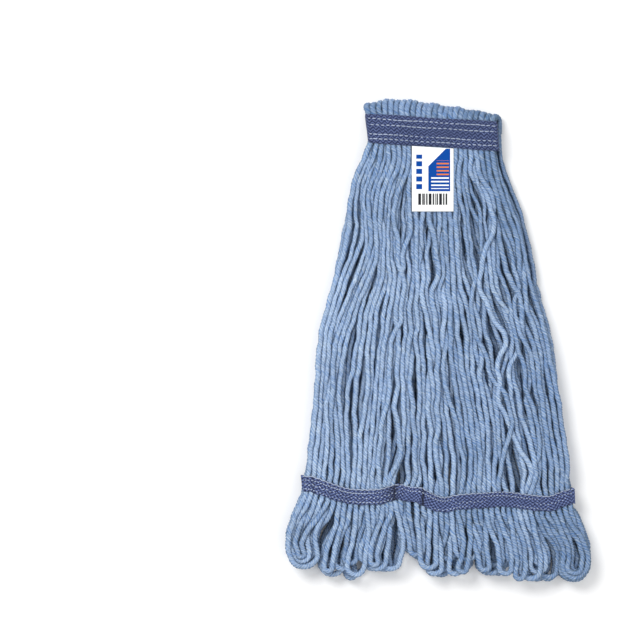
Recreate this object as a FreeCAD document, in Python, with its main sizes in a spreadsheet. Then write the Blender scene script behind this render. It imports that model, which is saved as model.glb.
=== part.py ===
import FreeCAD, Part
import math
import os
import Sketcher

# A looped-end wet mop head lying flat, in millimetres. +Z is up, +Y points to the fold of the
# yarn, and the origin is under the middle of the head, on the surface that it lies on. The yarn
# is one long skein, folded over at the top into a rear half and a front half of eight hanks each.
# A webbing headband is sewn round the front half below the fold. Near its loops, each half has a
# tail band of two webbing strips, sewn together through the yarn.

SIZES = {
    # the bundle
    "yarn_half": 12.6,         # thickness of each half
    "parting": 0.8,            # space between the two halves
    "hank_gap": 0.4,           # space between neighbouring hanks
    "edge_round": 2.4,         # rounding along a hank
    "loop_round": 11,          # rounding of a hank's two end corners
    "cluster_gap": 7,          # opening between two clusters of loops
    "rear_shift": 6.5,         # how far the rear half sits to the right at the head
    "clearance": 0.3,          # webbing to yarn, and label to yarn
    # the head, where the bundle is straight, from the fold line to just below the headband
    "head_x": -6.7,
    "head_width": 127,
    "fold_y": 226,
    "fold_skew": 5,            # slope of the fold line, down to the right
    "fold_core": 0.5,          # inner radius of the turned yarn
    "fold_spread": 9,          # how much wider the turned yarn is than a half
    "fold_lean": 2.2,          # how far its middle sits to the right of the front half's
    "fold_gap": 0.3,           # from the fold line to the hanks below it
    # the outline of the bundle, at lines across it
    "shoulder_x": -11.5, "shoulder_drop": 40, "shoulder_width": 169, "shoulder_skew": 1.5,
    "middle_x": -4.3, "middle_y": 0, "middle_width": 232, "middle_skew": 0.5,
    "lower_x": -2.6, "lower_y": -100, "lower_width": 259, "lower_skew": 0.5,
    "tail_x": -0.8, "tail_y": -155, "tail_width": 272, "tail_skew": 1,
    "flare_x": 0, "flare_drop": 48, "flare_width": 309, "flare_skew": 0,
    # how far each hank's loops reach below the widest line
    "front_loop_1": 26.5, "front_loop_2": 38.5, "front_loop_3": 35.5, "front_loop_4": 35,
    "front_loop_5": 35.5, "front_loop_6": 36, "front_loop_7": 40, "front_loop_8": 41,
    "rear_loop_1": 23, "rear_loop_2": 34, "rear_loop_3": 32, "rear_loop_4": 29,
    "rear_loop_5": 32, "rear_loop_6": 31, "rear_loop_7": 35, "rear_loop_8": 34,
    # the headband, a belt of webbing
    "webbing": 1.1,
    "belt_skew": 3.5,
    "belt_height": 29,
    "belt_above": 2.5,         # from its upper edge to the fold line, at the middle
    "belt_below": 4.5,         # from its lower edge to where the bundle starts to spread
    "belt_side": 1.4,          # belt to the outer hanks, at each side
    "belt_proud": 0.6,         # how far the front of the belt stands above the yarn
    "belt_round": 2.1,         # outside corner of the belt
    "seat_margin": 0.6,        # how much wider a seat is than its webbing, at each edge
    # its four rows of stitching
    "stitch_length": 4.2, "stitch_width": 0.9, "stitch_rise": 0.3, "stitch_count": 19,
    "row_margin": 4,           # from the belt's rounded side to the first stitch
    "row_outer": 4.6,          # from an edge of the belt to the row nearest to it
    "row_inner_upper": 10.4, "row_inner_lower": 9.3,
    # the tail bands, whose middle line waves up and down across the bundle
    "tail_band_height": 16.5,
    "tail_sink": 0.9,          # how far a tail band lies below the face of the yarn
    "tail_overhang": 0.5,      # how far it reaches past the outer hanks
    "wave_0": 13, "wave_1": 6, "wave_2": -1, "wave_3": 3.5, "wave_4": -5.5,
    "wave_5": -4.5, "wave_6": -3.5, "wave_7": -7, "wave_8": 1.3,
    "seam_margin": 3.4,        # from an edge of a tail band to its line of thread
    "seam_width": 0.9,
    # the card label under the headband's lower edge
    "label_x": -6.5, "label_width": 41.5, "label_length": 64, "label_card": 0.4,
    "label_step": 0.5,         # from the lower edge of the headband to the card
}

HANKS = 8
WAVES = 8
CLUSTER_EDGES = (3, 5)  # edges between hanks where the loops part

FRONT_BASE = "(sizes.yarn_half + sizes.parting)"
HINGE_LEVEL = "(sizes.yarn_half + sizes.parting / 2)"
BELT_Y = "(sizes.fold_y - sizes.belt_above - sizes.belt_height / 2)"
BELT_END = f"({BELT_Y} - sizes.belt_height / 2 - sizes.belt_below)"
BELT_SEAT_BELOW = "(sizes.webbing + sizes.clearance)"
BELT_SEAT_ABOVE = "(sizes.webbing + sizes.clearance - sizes.belt_proud)"
BELT_INSIDE = "(sizes.head_width + 2 * sizes.belt_side)"
BELT_OUTSIDE = f"({BELT_INSIDE} + 2 * sizes.webbing)"
BELT_TALL = "(sizes.yarn_half + sizes.belt_proud)"
TAIL_SEAT = "(sizes.webbing + sizes.clearance + sizes.tail_sink)"
FLARE_Y = "(sizes.tail_y - sizes.flare_drop)"
WAVE_SPAN = "(sizes.tail_width + 2 * sizes.tail_overhang)"

# each line across the bundle: centre x, centre y, width, slope, and its share of the rear shift
STATIONS = {
    "fold": ("sizes.head_x", "sizes.fold_y", "sizes.head_width", "sizes.fold_skew", 1),
    "belt": ("sizes.head_x", BELT_END, "sizes.head_width", "sizes.belt_skew", 1),
    "shoulder": ("sizes.shoulder_x", f"({BELT_END} - sizes.shoulder_drop)",
                 "sizes.shoulder_width", "sizes.shoulder_skew", 0.8),
    "middle": ("sizes.middle_x", "sizes.middle_y", "sizes.middle_width", "sizes.middle_skew", 0.4),
    "lower": ("sizes.lower_x", "sizes.lower_y", "sizes.lower_width", "sizes.lower_skew", 0),
    "tail": ("sizes.tail_x", "sizes.tail_y", "sizes.tail_width", "sizes.tail_skew", 0),
    "flare": ("sizes.flare_x", FLARE_Y, "sizes.flare_width", "sizes.flare_skew", 0),
}

doc = FreeCAD.newDocument("mop_head")
sheet = doc.addObject("Spreadsheet::Sheet", "sizes")
for row, (alias, value) in enumerate(SIZES.items(), start=1):
    sheet.set(f"A{row}", alias)
    sheet.set(f"B{row}", str(value))
    sheet.setAlias(f"B{row}", alias)
doc.recompute()

subparts = []


def new_body(name, up="0"):
    """A body that is one sub-part, with its base at a height."""
    body = doc.addObject("PartDesign::Body", name)
    body.Label = name
    body.setExpression("Placement.Base.z", up)
    subparts.append(body)
    return body


def turn(owner, prop, x, y, angle):
    """Moves a placement to x and y, and turns it about Z."""
    placement = getattr(owner, prop)
    placement.Rotation = FreeCAD.Rotation(FreeCAD.Vector(0, 0, 1), 1)
    setattr(owner, prop, placement)
    owner.setExpression(f"{prop}.Base.x", x)
    owner.setExpression(f"{prop}.Base.y", y)
    owner.setExpression(f"{prop}.Rotation.Angle", angle)


def outline(body, name, corners, plane="XY_Plane", up="0"):
    """A closed sketch of straight lines, whose corners are expressions measured from the origin.

    The corners start on a circle, and their constraints carry them to their places.
    """
    sketch = body.newObject("Sketcher::SketchObject", name)
    support = next(f for f in body.Origin.OriginFeatures if f.Role == plane)
    sketch.AttachmentSupport = [(support, "")]
    sketch.MapMode = "FlatFace"
    sketch.setExpression("AttachmentOffset.Base.z", up)
    count = len(corners)
    turns = [2 * math.pi * i / count for i in range(count)]
    starts = [FreeCAD.Vector(100 * math.cos(a), 100 * math.sin(a), 0) for a in turns]
    for i in range(count):
        sketch.addGeometry(Part.LineSegment(starts[i], starts[(i + 1) % count]), False)
    for i in range(count):
        sketch.addConstraint(Sketcher.Constraint("Coincident", i, 2, (i + 1) % count, 1))
    for i, (x, y) in enumerate(corners):
        at_x = sketch.addConstraint(Sketcher.Constraint("DistanceX", -1, 1, i, 1, starts[i].x))
        at_y = sketch.addConstraint(Sketcher.Constraint("DistanceY", -1, 1, i, 1, starts[i].y))
        sketch.setExpression(f"Constraints[{at_x}]", x)
        sketch.setExpression(f"Constraints[{at_y}]", y)
    return sketch


def rectangle(left, right, low, high):
    return [(left, low), (right, low), (right, high), (left, high)]


def pad(body, name, sketch, length):
    feature = body.newObject("PartDesign::Pad", name)
    feature.Profile = sketch
    feature.setExpression("Length", length)
    body.Tip = feature
    return feature


def pocket(body, name, sketch, depth, upward):
    """Cuts downward from the sketch's plane, or upward from it, and must remove something."""
    doc.recompute()
    before = body.Tip.Shape.Volume
    feature = body.newObject("PartDesign::Pocket", name)
    feature.Profile = sketch
    feature.setExpression("Length", depth)
    feature.Reversed = upward
    body.Tip = feature
    doc.recompute()
    if feature.Shape.Volume > before - 1:
        raise RuntimeError(f"{name} cuts nothing")


def round_edges(body, name, base, radius, wanted):
    """A fillet on the edges of the base feature that a test picks."""
    doc.recompute()
    names = [f"Edge{i + 1}" for i, edge in enumerate(base.Shape.Edges) if wanted(edge)]
    feature = body.newObject("PartDesign::Fillet", name)
    feature.Base = (base, names)
    feature.setExpression("Radius", radius)
    body.Tip = feature
    return feature


def span(edge, axis):
    """How far an edge runs along one axis, from end to end."""
    ends = [vertex.Point[axis] for vertex in edge.Vertexes]
    return max(ends) - min(ends)


def station_point(half, station, edge, inset):
    """A point on a line across the bundle, at one of the edges between its hanks."""
    middle_x, middle_y, width, skew, shift_share = STATIONS[station]
    shift = f"{shift_share} * sizes.rear_shift" if half == "rear" else "0"
    across = f"(({edge} / {HANKS} - 0.5) * {width} + {inset} + {shift})"
    return f"{middle_x} + {across}", f"{middle_y} - {across} * tan({skew})"


def hank_corners(half, number):
    """Down the left side of a hank, across its end, and up its right side."""
    sides = []
    for edge, inward in ((number - 1, 1), (number, -1)):
        side = []
        for station in STATIONS:
            parted = edge in CLUSTER_EDGES and station == "flare"
            gap = "sizes.cluster_gap" if parted else "sizes.hank_gap"
            x, y = station_point(half, station, edge, f"{inward} * {gap} / 2")
            if station == "fold":
                y = f"{y} - sizes.fold_gap"
            side.append((x, y))
        side.append((side[-1][0], f"{FLARE_Y} - sizes.{half}_loop_{number}"))
        sides.append(side)
    return sides[0] + sides[1][::-1]


def wave_corners(offset, height):
    """A strip of a given height along the tail bands' middle line, moved up by an offset."""
    lower = []
    upper = []
    for i in range(WAVES + 1):
        x = f"sizes.tail_x + ({i} / {WAVES} - 0.5) * {WAVE_SPAN}"
        middle = f"sizes.tail_y + sizes.wave_{i} + {offset}"
        lower.append((x, f"{middle} - {height} / 2"))
        upper.append((x, f"{middle} + {height} / 2"))
    return lower + upper[::-1]


def belt_seat(body, name, up, depth, upward):
    """The shallow seat of the headband across one face of a hank."""
    reach = f"({BELT_OUTSIDE} / 2)"
    tall = "(sizes.belt_height / 2 + sizes.seat_margin)"
    corners = rectangle(f"-{reach}", reach, f"-{tall}", tall)
    sketch = outline(body, f"{name}_outline", corners, up=up)
    turn(sketch, "AttachmentOffset", "sizes.head_x", BELT_Y, "-sizes.belt_skew")
    pocket(body, name, sketch, depth, upward)


def tail_seat(body, name, up, upward):
    """The seat of a tail band across one face of a hank."""
    height = "(sizes.tail_band_height + 2 * sizes.seat_margin)"
    sketch = outline(body, f"{name}_outline", wave_corners("0", height), up=up)
    pocket(body, name, sketch, TAIL_SEAT, upward)


def hank(half, number):
    """One hank of looped yarn in one half of the bundle."""
    name = f"{half}_hank_{number}"
    body = new_body(name, FRONT_BASE if half == "front" else "0")
    sketch = outline(body, f"{name}_outline", hank_corners(half, number))
    block = pad(body, f"{name}_block", sketch, "sizes.yarn_half")
    doc.recompute()
    end = block.Shape.BoundBox.YMin
    head = block.Shape.BoundBox.YMax

    def at_loop_corner(edge):
        return span(edge, 2) > 1 and edge.Vertexes[0].Point.y < end + 1

    def along_hank(edge):
        at_fold = max(vertex.Point.y for vertex in edge.Vertexes) > head - 3 and span(edge, 1) < 3
        return span(edge, 2) < 1 and not at_fold

    ends = round_edges(body, f"{name}_ends", block, "sizes.loop_round", at_loop_corner)
    round_edges(body, f"{name}_sides", ends, "sizes.edge_round", along_hank)
    if half == "front":
        belt_seat(body, f"{name}_belt_over", "sizes.yarn_half", BELT_SEAT_ABOVE, False)
        belt_seat(body, f"{name}_belt_under", "0", BELT_SEAT_BELOW, True)
    tail_seat(body, f"{name}_tail_over", "sizes.yarn_half", False)
    tail_seat(body, f"{name}_tail_under", "0", True)


def fold_hank(number):
    """The yarn of one hank where it turns over from the rear half to the front half."""
    name = f"fold_hank_{number}"
    body = new_body(name, HINGE_LEVEL)
    turn(body, "Placement", "sizes.head_x + sizes.fold_lean", "sizes.fold_y", "-sizes.fold_skew")
    wide = "((sizes.head_width + sizes.fold_spread) / cos(sizes.fold_skew))"
    left = f"({number - 1} / {HANKS} - 0.5) * {wide} + sizes.hank_gap / 2"
    right = f"({number} / {HANKS} - 0.5) * {wide} - sizes.hank_gap / 2"
    sketch = outline(body, f"{name}_section", rectangle(left, right, "sizes.fold_core", HINGE_LEVEL))
    feature = body.newObject("PartDesign::Revolution", f"{name}_turn")
    feature.Profile = sketch
    feature.ReferenceAxis = (sketch, ["H_Axis"])
    feature.Angle = 180
    feature.Midplane = True
    body.Tip = feature


def place_on_belt(body):
    turn(body, "Placement", "sizes.head_x", BELT_Y, "-sizes.belt_skew")


def headband():
    """A belt of webbing round the front half, open at its upper and lower edges."""
    body = new_body("headband", FRONT_BASE)
    place_on_belt(body)
    half_out = f"({BELT_OUTSIDE} / 2)"
    half_in = f"({BELT_INSIDE} / 2)"
    start = "-sizes.belt_height / 2"
    around = rectangle(f"-{half_out}", half_out, "0", BELT_TALL)
    within = rectangle(f"-{half_in}", half_in, "sizes.webbing", f"{BELT_TALL} - sizes.webbing")
    outside = outline(body, "headband_outside", around, "XZ_Plane", start)
    block = pad(body, "headband_block", outside, "sizes.belt_height")
    round_edges(body, "headband_corners", block, "sizes.belt_round", lambda edge: span(edge, 1) > 1)
    inside = outline(body, "headband_inside", within, "XZ_Plane", start)
    pocket(body, "headband_hollow", inside, "sizes.belt_height", True)


def stitch_outline(body, name, up, row_y):
    """The first stitch of a row, long and narrow with a point at each end."""
    row_end = f"({BELT_OUTSIDE} / 2 - sizes.belt_round - sizes.row_margin)"
    left = f"-{row_end}"
    right = f"{left} + sizes.stitch_length"
    side = "sizes.stitch_width / 2"
    corners = [(left, row_y), (f"{left} + {side}", f"{row_y} - {side}"),
               (f"{right} - {side}", f"{row_y} - {side}"), (right, row_y),
               (f"{right} - {side}", f"{row_y} + {side}"), (f"{left} + {side}", f"{row_y} + {side}")]
    return outline(body, name, corners, up=up)


def stitch_row(number, row_y):
    """A row of stitches through the headband, with thread on its front and on its back."""
    name = f"headband_stitch_row_{number}"
    body = new_body(name, FRONT_BASE)
    body.AllowCompound = True
    place_on_belt(body)
    over_outline = stitch_outline(body, f"{name}_over_outline", BELT_TALL, row_y)
    over = pad(body, f"{name}_over", over_outline, "sizes.stitch_rise")
    under_outline = stitch_outline(body, f"{name}_under_outline", "0", row_y)
    under = pad(body, f"{name}_under", under_outline, "sizes.stitch_rise")
    under.Reversed = True
    doc.recompute()
    repeat = body.newObject("PartDesign::LinearPattern", f"{name}_repeat")
    repeat.Originals = [over, under]
    repeat.Direction = (under_outline, ["H_Axis"])
    margins = "2 * sizes.belt_round - 2 * sizes.row_margin"
    repeat.setExpression("Length", f"{BELT_OUTSIDE} - {margins} - sizes.stitch_length")
    repeat.setExpression("Occurrences", "sizes.stitch_count")
    body.Tip = repeat


def tail_strip(name, up):
    """One webbing strip of a tail band."""
    body = new_body(name, up)
    sketch = outline(body, f"{name}_outline", wave_corners("0", "sizes.tail_band_height"))
    pad(body, f"{name}_webbing", sketch, "sizes.webbing")


def tail_seam(name, up, side):
    """A line of thread sewn along the upper or the lower edge of a tail band."""
    body = new_body(name, up)
    offset = f"{side} * (sizes.tail_band_height / 2 - sizes.seam_margin)"
    sketch = outline(body, f"{name}_outline", wave_corners(offset, "sizes.seam_width"))
    pad(body, f"{name}_thread", sketch, "sizes.stitch_rise")


def label():
    """A plain card that hangs from the lower edge of the headband and lies on the yarn."""
    body = new_body("label", f"{FRONT_BASE} + sizes.yarn_half + sizes.clearance")
    drop = "((sizes.belt_height / 2 + sizes.label_step) / cos(sizes.belt_skew))"
    left = "(sizes.label_x - sizes.label_width / 2)"
    right = "(sizes.label_x + sizes.label_width / 2)"
    low = f"{BELT_Y} - {drop} - sizes.label_length"
    left_top = f"{BELT_Y} - {drop} - ({left} - sizes.head_x) * tan(sizes.belt_skew)"
    right_top = f"{BELT_Y} - {drop} - ({right} - sizes.head_x) * tan(sizes.belt_skew)"
    corners = [(left, left_top), (left, low), (right, low), (right, right_top)]
    pad(body, "label_sheet", outline(body, "label_outline", corners), "sizes.label_card")


for number in range(1, HANKS + 1):
    hank("rear", number)
    fold_hank(number)
    hank("front", number)

headband()
stitch_row(1, "(sizes.belt_height / 2 - sizes.row_outer)")
stitch_row(2, "(sizes.belt_height / 2 - sizes.row_inner_upper)")
stitch_row(3, "(sizes.row_inner_lower - sizes.belt_height / 2)")
stitch_row(4, "(sizes.row_outer - sizes.belt_height / 2)")

UNDER_FACE = "sizes.yarn_half - sizes.tail_sink"
tail_strip("rear_tail_band_outer", "sizes.tail_sink")
tail_strip("rear_tail_band_inner", f"{UNDER_FACE} - sizes.webbing")
tail_strip("front_tail_band_inner", f"{FRONT_BASE} + sizes.tail_sink")
tail_strip("front_tail_band_outer", f"{FRONT_BASE} + {UNDER_FACE} - sizes.webbing")
for place, side in (("upper", 1), ("lower", -1)):
    tail_seam(f"front_tail_seam_{place}", f"{FRONT_BASE} + {UNDER_FACE}", side)
    tail_seam(f"rear_tail_seam_{place}", "sizes.tail_sink - sizes.stitch_rise", side)
label()
doc.recompute()

for thing in doc.Objects:
    if "Invalid" in thing.State or "Error" in thing.State:
        raise RuntimeError(f"{thing.Name} failed to build: {thing.State}")
for body in subparts:
    if body.Shape.isNull() or not body.Shape.isValid():
        raise RuntimeError(f"{body.Label} has no valid shape")

os.makedirs("parts", exist_ok=True)
for body in subparts:
    body.Shape.exportStep(f"parts/{body.Label}.step")
    print(f"{body.Label}: {len(body.Shape.Solids)} solids, {body.Shape.Volume:.0f} mm3")
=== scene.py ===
import math

import bpy
import numpy as np
from bpy.props import FloatProperty, FloatVectorProperty, IntProperty, PointerProperty
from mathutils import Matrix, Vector


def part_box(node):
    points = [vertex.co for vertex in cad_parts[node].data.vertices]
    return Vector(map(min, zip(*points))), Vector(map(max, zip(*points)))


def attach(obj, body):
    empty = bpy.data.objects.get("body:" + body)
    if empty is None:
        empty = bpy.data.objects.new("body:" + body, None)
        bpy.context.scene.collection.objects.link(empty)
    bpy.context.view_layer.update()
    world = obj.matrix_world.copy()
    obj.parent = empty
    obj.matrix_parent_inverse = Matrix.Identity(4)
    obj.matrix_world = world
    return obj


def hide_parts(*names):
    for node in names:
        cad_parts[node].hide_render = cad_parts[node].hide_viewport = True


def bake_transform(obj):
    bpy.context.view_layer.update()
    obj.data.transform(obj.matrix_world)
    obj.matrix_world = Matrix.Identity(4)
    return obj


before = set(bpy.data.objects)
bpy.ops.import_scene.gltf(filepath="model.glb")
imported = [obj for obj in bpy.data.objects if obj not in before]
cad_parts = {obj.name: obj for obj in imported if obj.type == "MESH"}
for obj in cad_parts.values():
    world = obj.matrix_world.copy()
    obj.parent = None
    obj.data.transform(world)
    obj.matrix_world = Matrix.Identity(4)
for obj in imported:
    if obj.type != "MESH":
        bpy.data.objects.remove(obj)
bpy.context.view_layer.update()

bl_info = {
    "name": "String mop head",
    "version": (1, 0, 0),
    "blender": (4, 5, 0),
    "location": "3D View > Sidebar > String mop",
    "description": "A looped string mop head: plied yarn, headband, tail bands and a card label",
    "category": "Object",
}

# Everything below is worked out in millimetres, x to the right, y towards the fold, and h the
# height above the parting plane between the two halves. MM turns it into metres in each mesh.
MM = 0.001
PARTING = 13.0
HALVES = ("rear", "front")
OUTWARD = {"rear": -1.0, "front": 1.0}
HANKS = 8
FACE_PER_HANK = 6
CORE_PER_HANK = 4
FACE = HANKS * FACE_PER_HANK
CORE = HANKS * CORE_PER_HANK
FOLD_TOP = 226.0
HEAD_X = -6.7
FOLD_SLOPE = math.tan(math.radians(5.0))
BELT_TURN = math.radians(-3.5)
TAIL_Y = -155.0
TAIL_LEFT = -137.3
TAIL_RIGHT = 135.7
PLIES = 4
COLUMNS = 2 * PLIES
UV_PER_MM = 0.1
SEEDS = {
    "front": 23,
    "rear": 57,
    "front kinks": 5,
    "rear kinks": 6,
    "inner fold": 9,
    "stitch rows": 41,
    "tail seams": 77,
}


# ---------------------------------------------------------------- sizes and colours


def length_property(name, description, default):
    """A length property, kept in metres."""
    return FloatProperty(name=name, description=description, default=default, unit="LENGTH", precision=5)


def colour_property(name, description, default):
    """A colour property."""
    return FloatVectorProperty(name=name, description=description, default=default, subtype="COLOR")


class YarnSettings(bpy.types.PropertyGroup):
    """Sizes and colours of the plied yarn."""

    radius: length_property("Strand radius", "Radius over the plies", 0.003)
    lay: length_property("Lay", "Length of one full turn of the plies", 0.0125)
    groove: FloatProperty(
        name="Groove",
        description="Depth between two plies, as a share of the radius",
        default=0.16,
        min=0,
        max=0.5,
    )
    spacing: length_property("Ring spacing", "Distance between mesh rings", 0.0014)
    wander: length_property("Wander", "How far a strand strays sideways", 0.0024)
    settle_steps: IntProperty(
        name="Settling steps", description="Rounds of pushing apart", default=110, min=1
    )
    colour: colour_property("Yarn colour", "Lit ply", (0.525, 0.632, 0.745))
    # Painted shade between plies: the colour goes towards this one in the ply grooves, where the dark fibre
    # streaks also lie.
    streak_and_groove_shade_colour: colour_property("Streak and groove shade colour", "Between plies", (0.09, 0.205, 0.46))
    # Painted shade between strands: this colour is mixed in where the tone attribute is low.
    crevice_shade_colour: colour_property("Crevice shade colour", "Between strands", (0.12, 0.175, 0.155))


class WebbingSettings(bpy.types.PropertyGroup):
    """Sizes and colours of the headband, the tail bands and their thread."""

    thickness: length_property("Webbing thickness", "Of each band", 0.0011)
    rib: length_property("Rib pitch", "Between twill ribs", 0.0032)
    thread: length_property("Thread width", "Sewing thread", 0.0009)
    stitch: length_property("Stitch pitch", "Of the headband's sewing", 0.0052)
    colour: colour_property("Webbing colour", "Base of the weave", (0.01, 0.017, 0.062))
    light: colour_property("Rib colour", "Raised yarn of the weave", (0.14, 0.19, 0.39))
    thread_colour: colour_property("Thread colour", "Sewing thread", (0.52, 0.6, 0.76))


class LabelSettings(bpy.types.PropertyGroup):
    """Colours of the plain card label."""

    card: colour_property("Card", "Card colour", (0.86, 0.87, 0.86))
    panel: colour_property("Panel", "Plain panel and blocks", (0.0, 0.055, 0.3))
    ink: colour_property("Ink", "Plain bars", (0.02, 0.02, 0.025))
    accent: colour_property("Accent", "Plain lines", (0.7, 0.19, 0.03))


class StageSettings(bpy.types.PropertyGroup):
    """Camera, floor and light."""

    camera_height: length_property("Camera height", "Above the floor", 4.0)
    frame_width: length_property("Frame width", "Width seen at the yarn", 0.62)
    floor_colour: colour_property("Floor", "Floor colour", (0.93, 0.93, 0.93))
    key_power: FloatProperty(
        name="Key light", description="Power of the soft key light", default=31.0, unit="POWER"
    )
    fill: FloatProperty(
        name="Fill light", description="Strength of the light all round", default=0.72, min=0
    )


# ---------------------------------------------------------------- reading the CAD pieces


def node_points(name):
    """Corner points of a CAD piece and the index pairs of its edges, in millimetres."""
    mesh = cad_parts[name].data
    points = np.zeros(len(mesh.vertices) * 3)
    mesh.vertices.foreach_get("co", points)
    ends = np.zeros(len(mesh.edges) * 2, int)
    mesh.edges.foreach_get("vertices", ends)
    return points.reshape(-1, 3) / MM, ends.reshape(-1, 2)


def section(names, heights, axis=1, value=0):
    """Lowest and highest `value` coordinate of the CAD pieces where `axis` equals each height.

    Each mesh edge that passes the height is cut there: value = a + share (b - a).
    """
    low = np.full(len(heights), np.inf)
    high = np.full(len(heights), -np.inf)
    for name in names:
        points, ends = node_points(name)
        a, b = points[ends[:, 0]], points[ends[:, 1]]
        rise = b[:, axis] - a[:, axis]
        rise = np.where(np.abs(rise) < 1e-9, 1e-9, rise)
        share = (np.asarray(heights)[:, None] - a[None, :, axis]) / rise[None]
        crosses = (share >= 0) & (share <= 1)
        cut = a[:, value] + share * (b[:, value] - a[:, value])
        low = np.minimum(low, np.where(crosses, cut, np.inf).min(axis=1))
        high = np.maximum(high, np.where(crosses, cut, -np.inf).max(axis=1))
    return low, high


def ease(value):
    """Smooth step: 3 v^2 - 2 v^3 between 0 and 1."""
    value = np.clip(value, 0.0, 1.0)
    return value * value * (3.0 - 2.0 * value)


def soften(values, width):
    """Moving average over `width` samples, with the ends held."""
    padded = np.pad(values, width // 2, mode="edge")
    return np.convolve(padded, np.ones(width) / width, mode="valid")[: len(values)]


def with_bumps(values, x, bumps):
    """The values, plus size exp(-((x - centre) / half width)^2) for each bump."""
    for centre, size, wide in bumps:
        values = values + size * np.exp(-(((x - centre) / wide) ** 2))
    return values


BAND_PULLS = (
    # x, shift, half width: places where the strands pull the tail band up or down a little
    (-128.0, 1.6, 9.0),
    (-92.0, -2.7, 17.0),
    (-42.0, 2.6, 9.0),
    (-20.0, 2.0, 6.0),
    (3.0, -2.9, 12.0),
    (64.0, 1.4, 18.0),
    (112.0, -1.9, 10.0),
)


def band_middle(x):
    """Height y of the tail band's middle line at each x: the CAD band's, with the pulls added."""
    stations = np.linspace(TAIL_LEFT + 0.8, TAIL_RIGHT - 0.7, 64)
    low, high = section(["front_tail_band_outer"], stations, axis=0, value=1)
    return with_bumps(np.interp(x, stations, soften((low + high) / 2.0, 5)), x, BAND_PULLS)


# ---------------------------------------------------------------- meshes


def new_object(name, vertices, faces, uvs=None, tone=None):
    """Mesh object from whole arrays: vertices in millimetres, faces as rows of corner indices.

    A face row ends with -1 where it is a triangle. uvs follow the faces' corners.
    """
    mesh = bpy.data.meshes.new(name)
    counts = np.where(faces[:, 3] < 0, 3, 4)
    corners = faces.reshape(-1)
    keep = corners >= 0
    mesh.vertices.add(len(vertices))
    mesh.vertices.foreach_set("co", (vertices * MM).astype(np.float32).ravel())
    mesh.loops.add(int(keep.sum()))
    mesh.loops.foreach_set("vertex_index", corners[keep].astype(np.int32))
    mesh.polygons.add(len(faces))
    starts = np.concatenate([[0], np.cumsum(counts)[:-1]])
    mesh.polygons.foreach_set("loop_start", starts.astype(np.int32))
    mesh.polygons.foreach_set("use_smooth", np.full(len(faces), True))
    if uvs is not None:
        layer = mesh.uv_layers.new(name="along")
        layer.data.foreach_set("uv", uvs.reshape(-1, 2)[keep].astype(np.float32).ravel())
    # The tone attribute: a strand's random tone, with painted shade folded in for the yarn.
    if tone is not None:
        layer = mesh.attributes.new("tone", "FLOAT", "POINT")
        layer.data.foreach_set("value", tone.astype(np.float32))
    mesh.update()
    mesh.validate()
    made = bpy.data.objects.new(name, mesh)
    bpy.context.scene.collection.objects.link(made)
    return made


def spline(points, at):
    """Catmull-Rom curve through the points, read at the parameters `at` from 0 to len(points) - 1."""
    count = len(points)
    first = np.clip(np.floor(at).astype(int), 0, count - 2)
    f = (at - first)[:, None]
    ends = np.vstack([2 * points[0] - points[1], points, 2 * points[-1] - points[-2]])
    a, b, c, d = ends[first], ends[first + 1], ends[first + 2], ends[first + 3]
    return 0.5 * (2 * b + (c - a) * f + (2 * a - 5 * b + 4 * c - d) * f**2 + (3 * b - a - 3 * c + d) * f**3)


def distances(points):
    """Distance of each point from the first, along the line through the points."""
    return np.concatenate([[0], np.cumsum(np.linalg.norm(np.diff(points, axis=0), axis=1))])


def even_path(points, spacing):
    """The same curve with points evenly spaced along its length; returns points and their parameters."""
    fine = np.linspace(0, len(points) - 1, 8 * (len(points) - 1) + 1)
    run = distances(spline(points, fine))
    count = max(4, int(round(run[-1] / spacing)) + 1)
    at = np.interp(np.linspace(0, run[-1], count), run, fine)
    return spline(points, at), at


def transported_frames(paths):
    """Tangent, normal and side vectors along each path, all paths at once.

    The normal is carried from ring to ring by taking away its part along the new tangent,
    so that it never flips. Paths are padded to one length by repeating their last point.
    """
    longest = max(len(path) for path in paths)
    block = np.stack([np.pad(path, ((0, longest - len(path)), (0, 0)), mode="edge") for path in paths])
    tangent = np.zeros_like(block)
    tangent[:, 1:-1] = block[:, 2:] - block[:, :-2]
    tangent[:, 0] = block[:, 1] - block[:, 0]
    for row, path in enumerate(paths):
        last = len(path) - 1
        tangent[row, last:] = path[-1] - path[-2]
    tangent /= np.linalg.norm(tangent, axis=2, keepdims=True) + 1e-12
    normal = np.zeros_like(block)
    start = np.zeros((len(paths), 3))
    start[:, 0] = 1.0
    for ring in range(longest):
        along = (start * tangent[:, ring]).sum(axis=1, keepdims=True)
        start = start - along * tangent[:, ring]
        start /= np.linalg.norm(start, axis=1, keepdims=True)
        normal[:, ring] = start
    return tangent, normal, np.cross(tangent, normal)


def spokes(angle, normal, side):
    """Directions round each ring: cos(angle) normal + sin(angle) side."""
    return np.cos(angle)[..., None] * normal[:, None] + np.sin(angle)[..., None] * side[:, None]


def plied_rings(paths, radii, phases, yarn):
    """Ring corners and distances travelled of plied strands, one pair of arrays per path.

    A corner sits at radius r (1 - g odd) and angle phase + 2 pi column / columns - 2 pi s / lay:
    even columns run along the tops of the plies and odd ones along the grooves between them.
    Two slow waves are added to the angle, so that the lay is a little uneven.
    """
    _, normal, side = transported_frames(paths)
    column = np.arange(COLUMNS)
    depth = 1.0 - yarn.groove * (column % 2)
    lay = yarn.lay / MM
    rings = []
    for row, path in enumerate(paths):
        count = len(path)
        travelled = distances(path)
        phase = phases[row]
        uneven = 0.7 * np.sin(travelled / 9.7 + 3 * phase) + 0.4 * np.sin(travelled / 4.1 + 5 * phase)
        angle = phase + 2 * np.pi * (column[None] / COLUMNS - travelled[:, None] / lay) + uneven[:, None]
        reach = (radii[row][:, None] * depth[None])[..., None]
        corners = path[:, None] + reach * spokes(angle, normal[row, :count], side[row, :count])
        rings.append((corners, travelled))
    return rings


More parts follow.
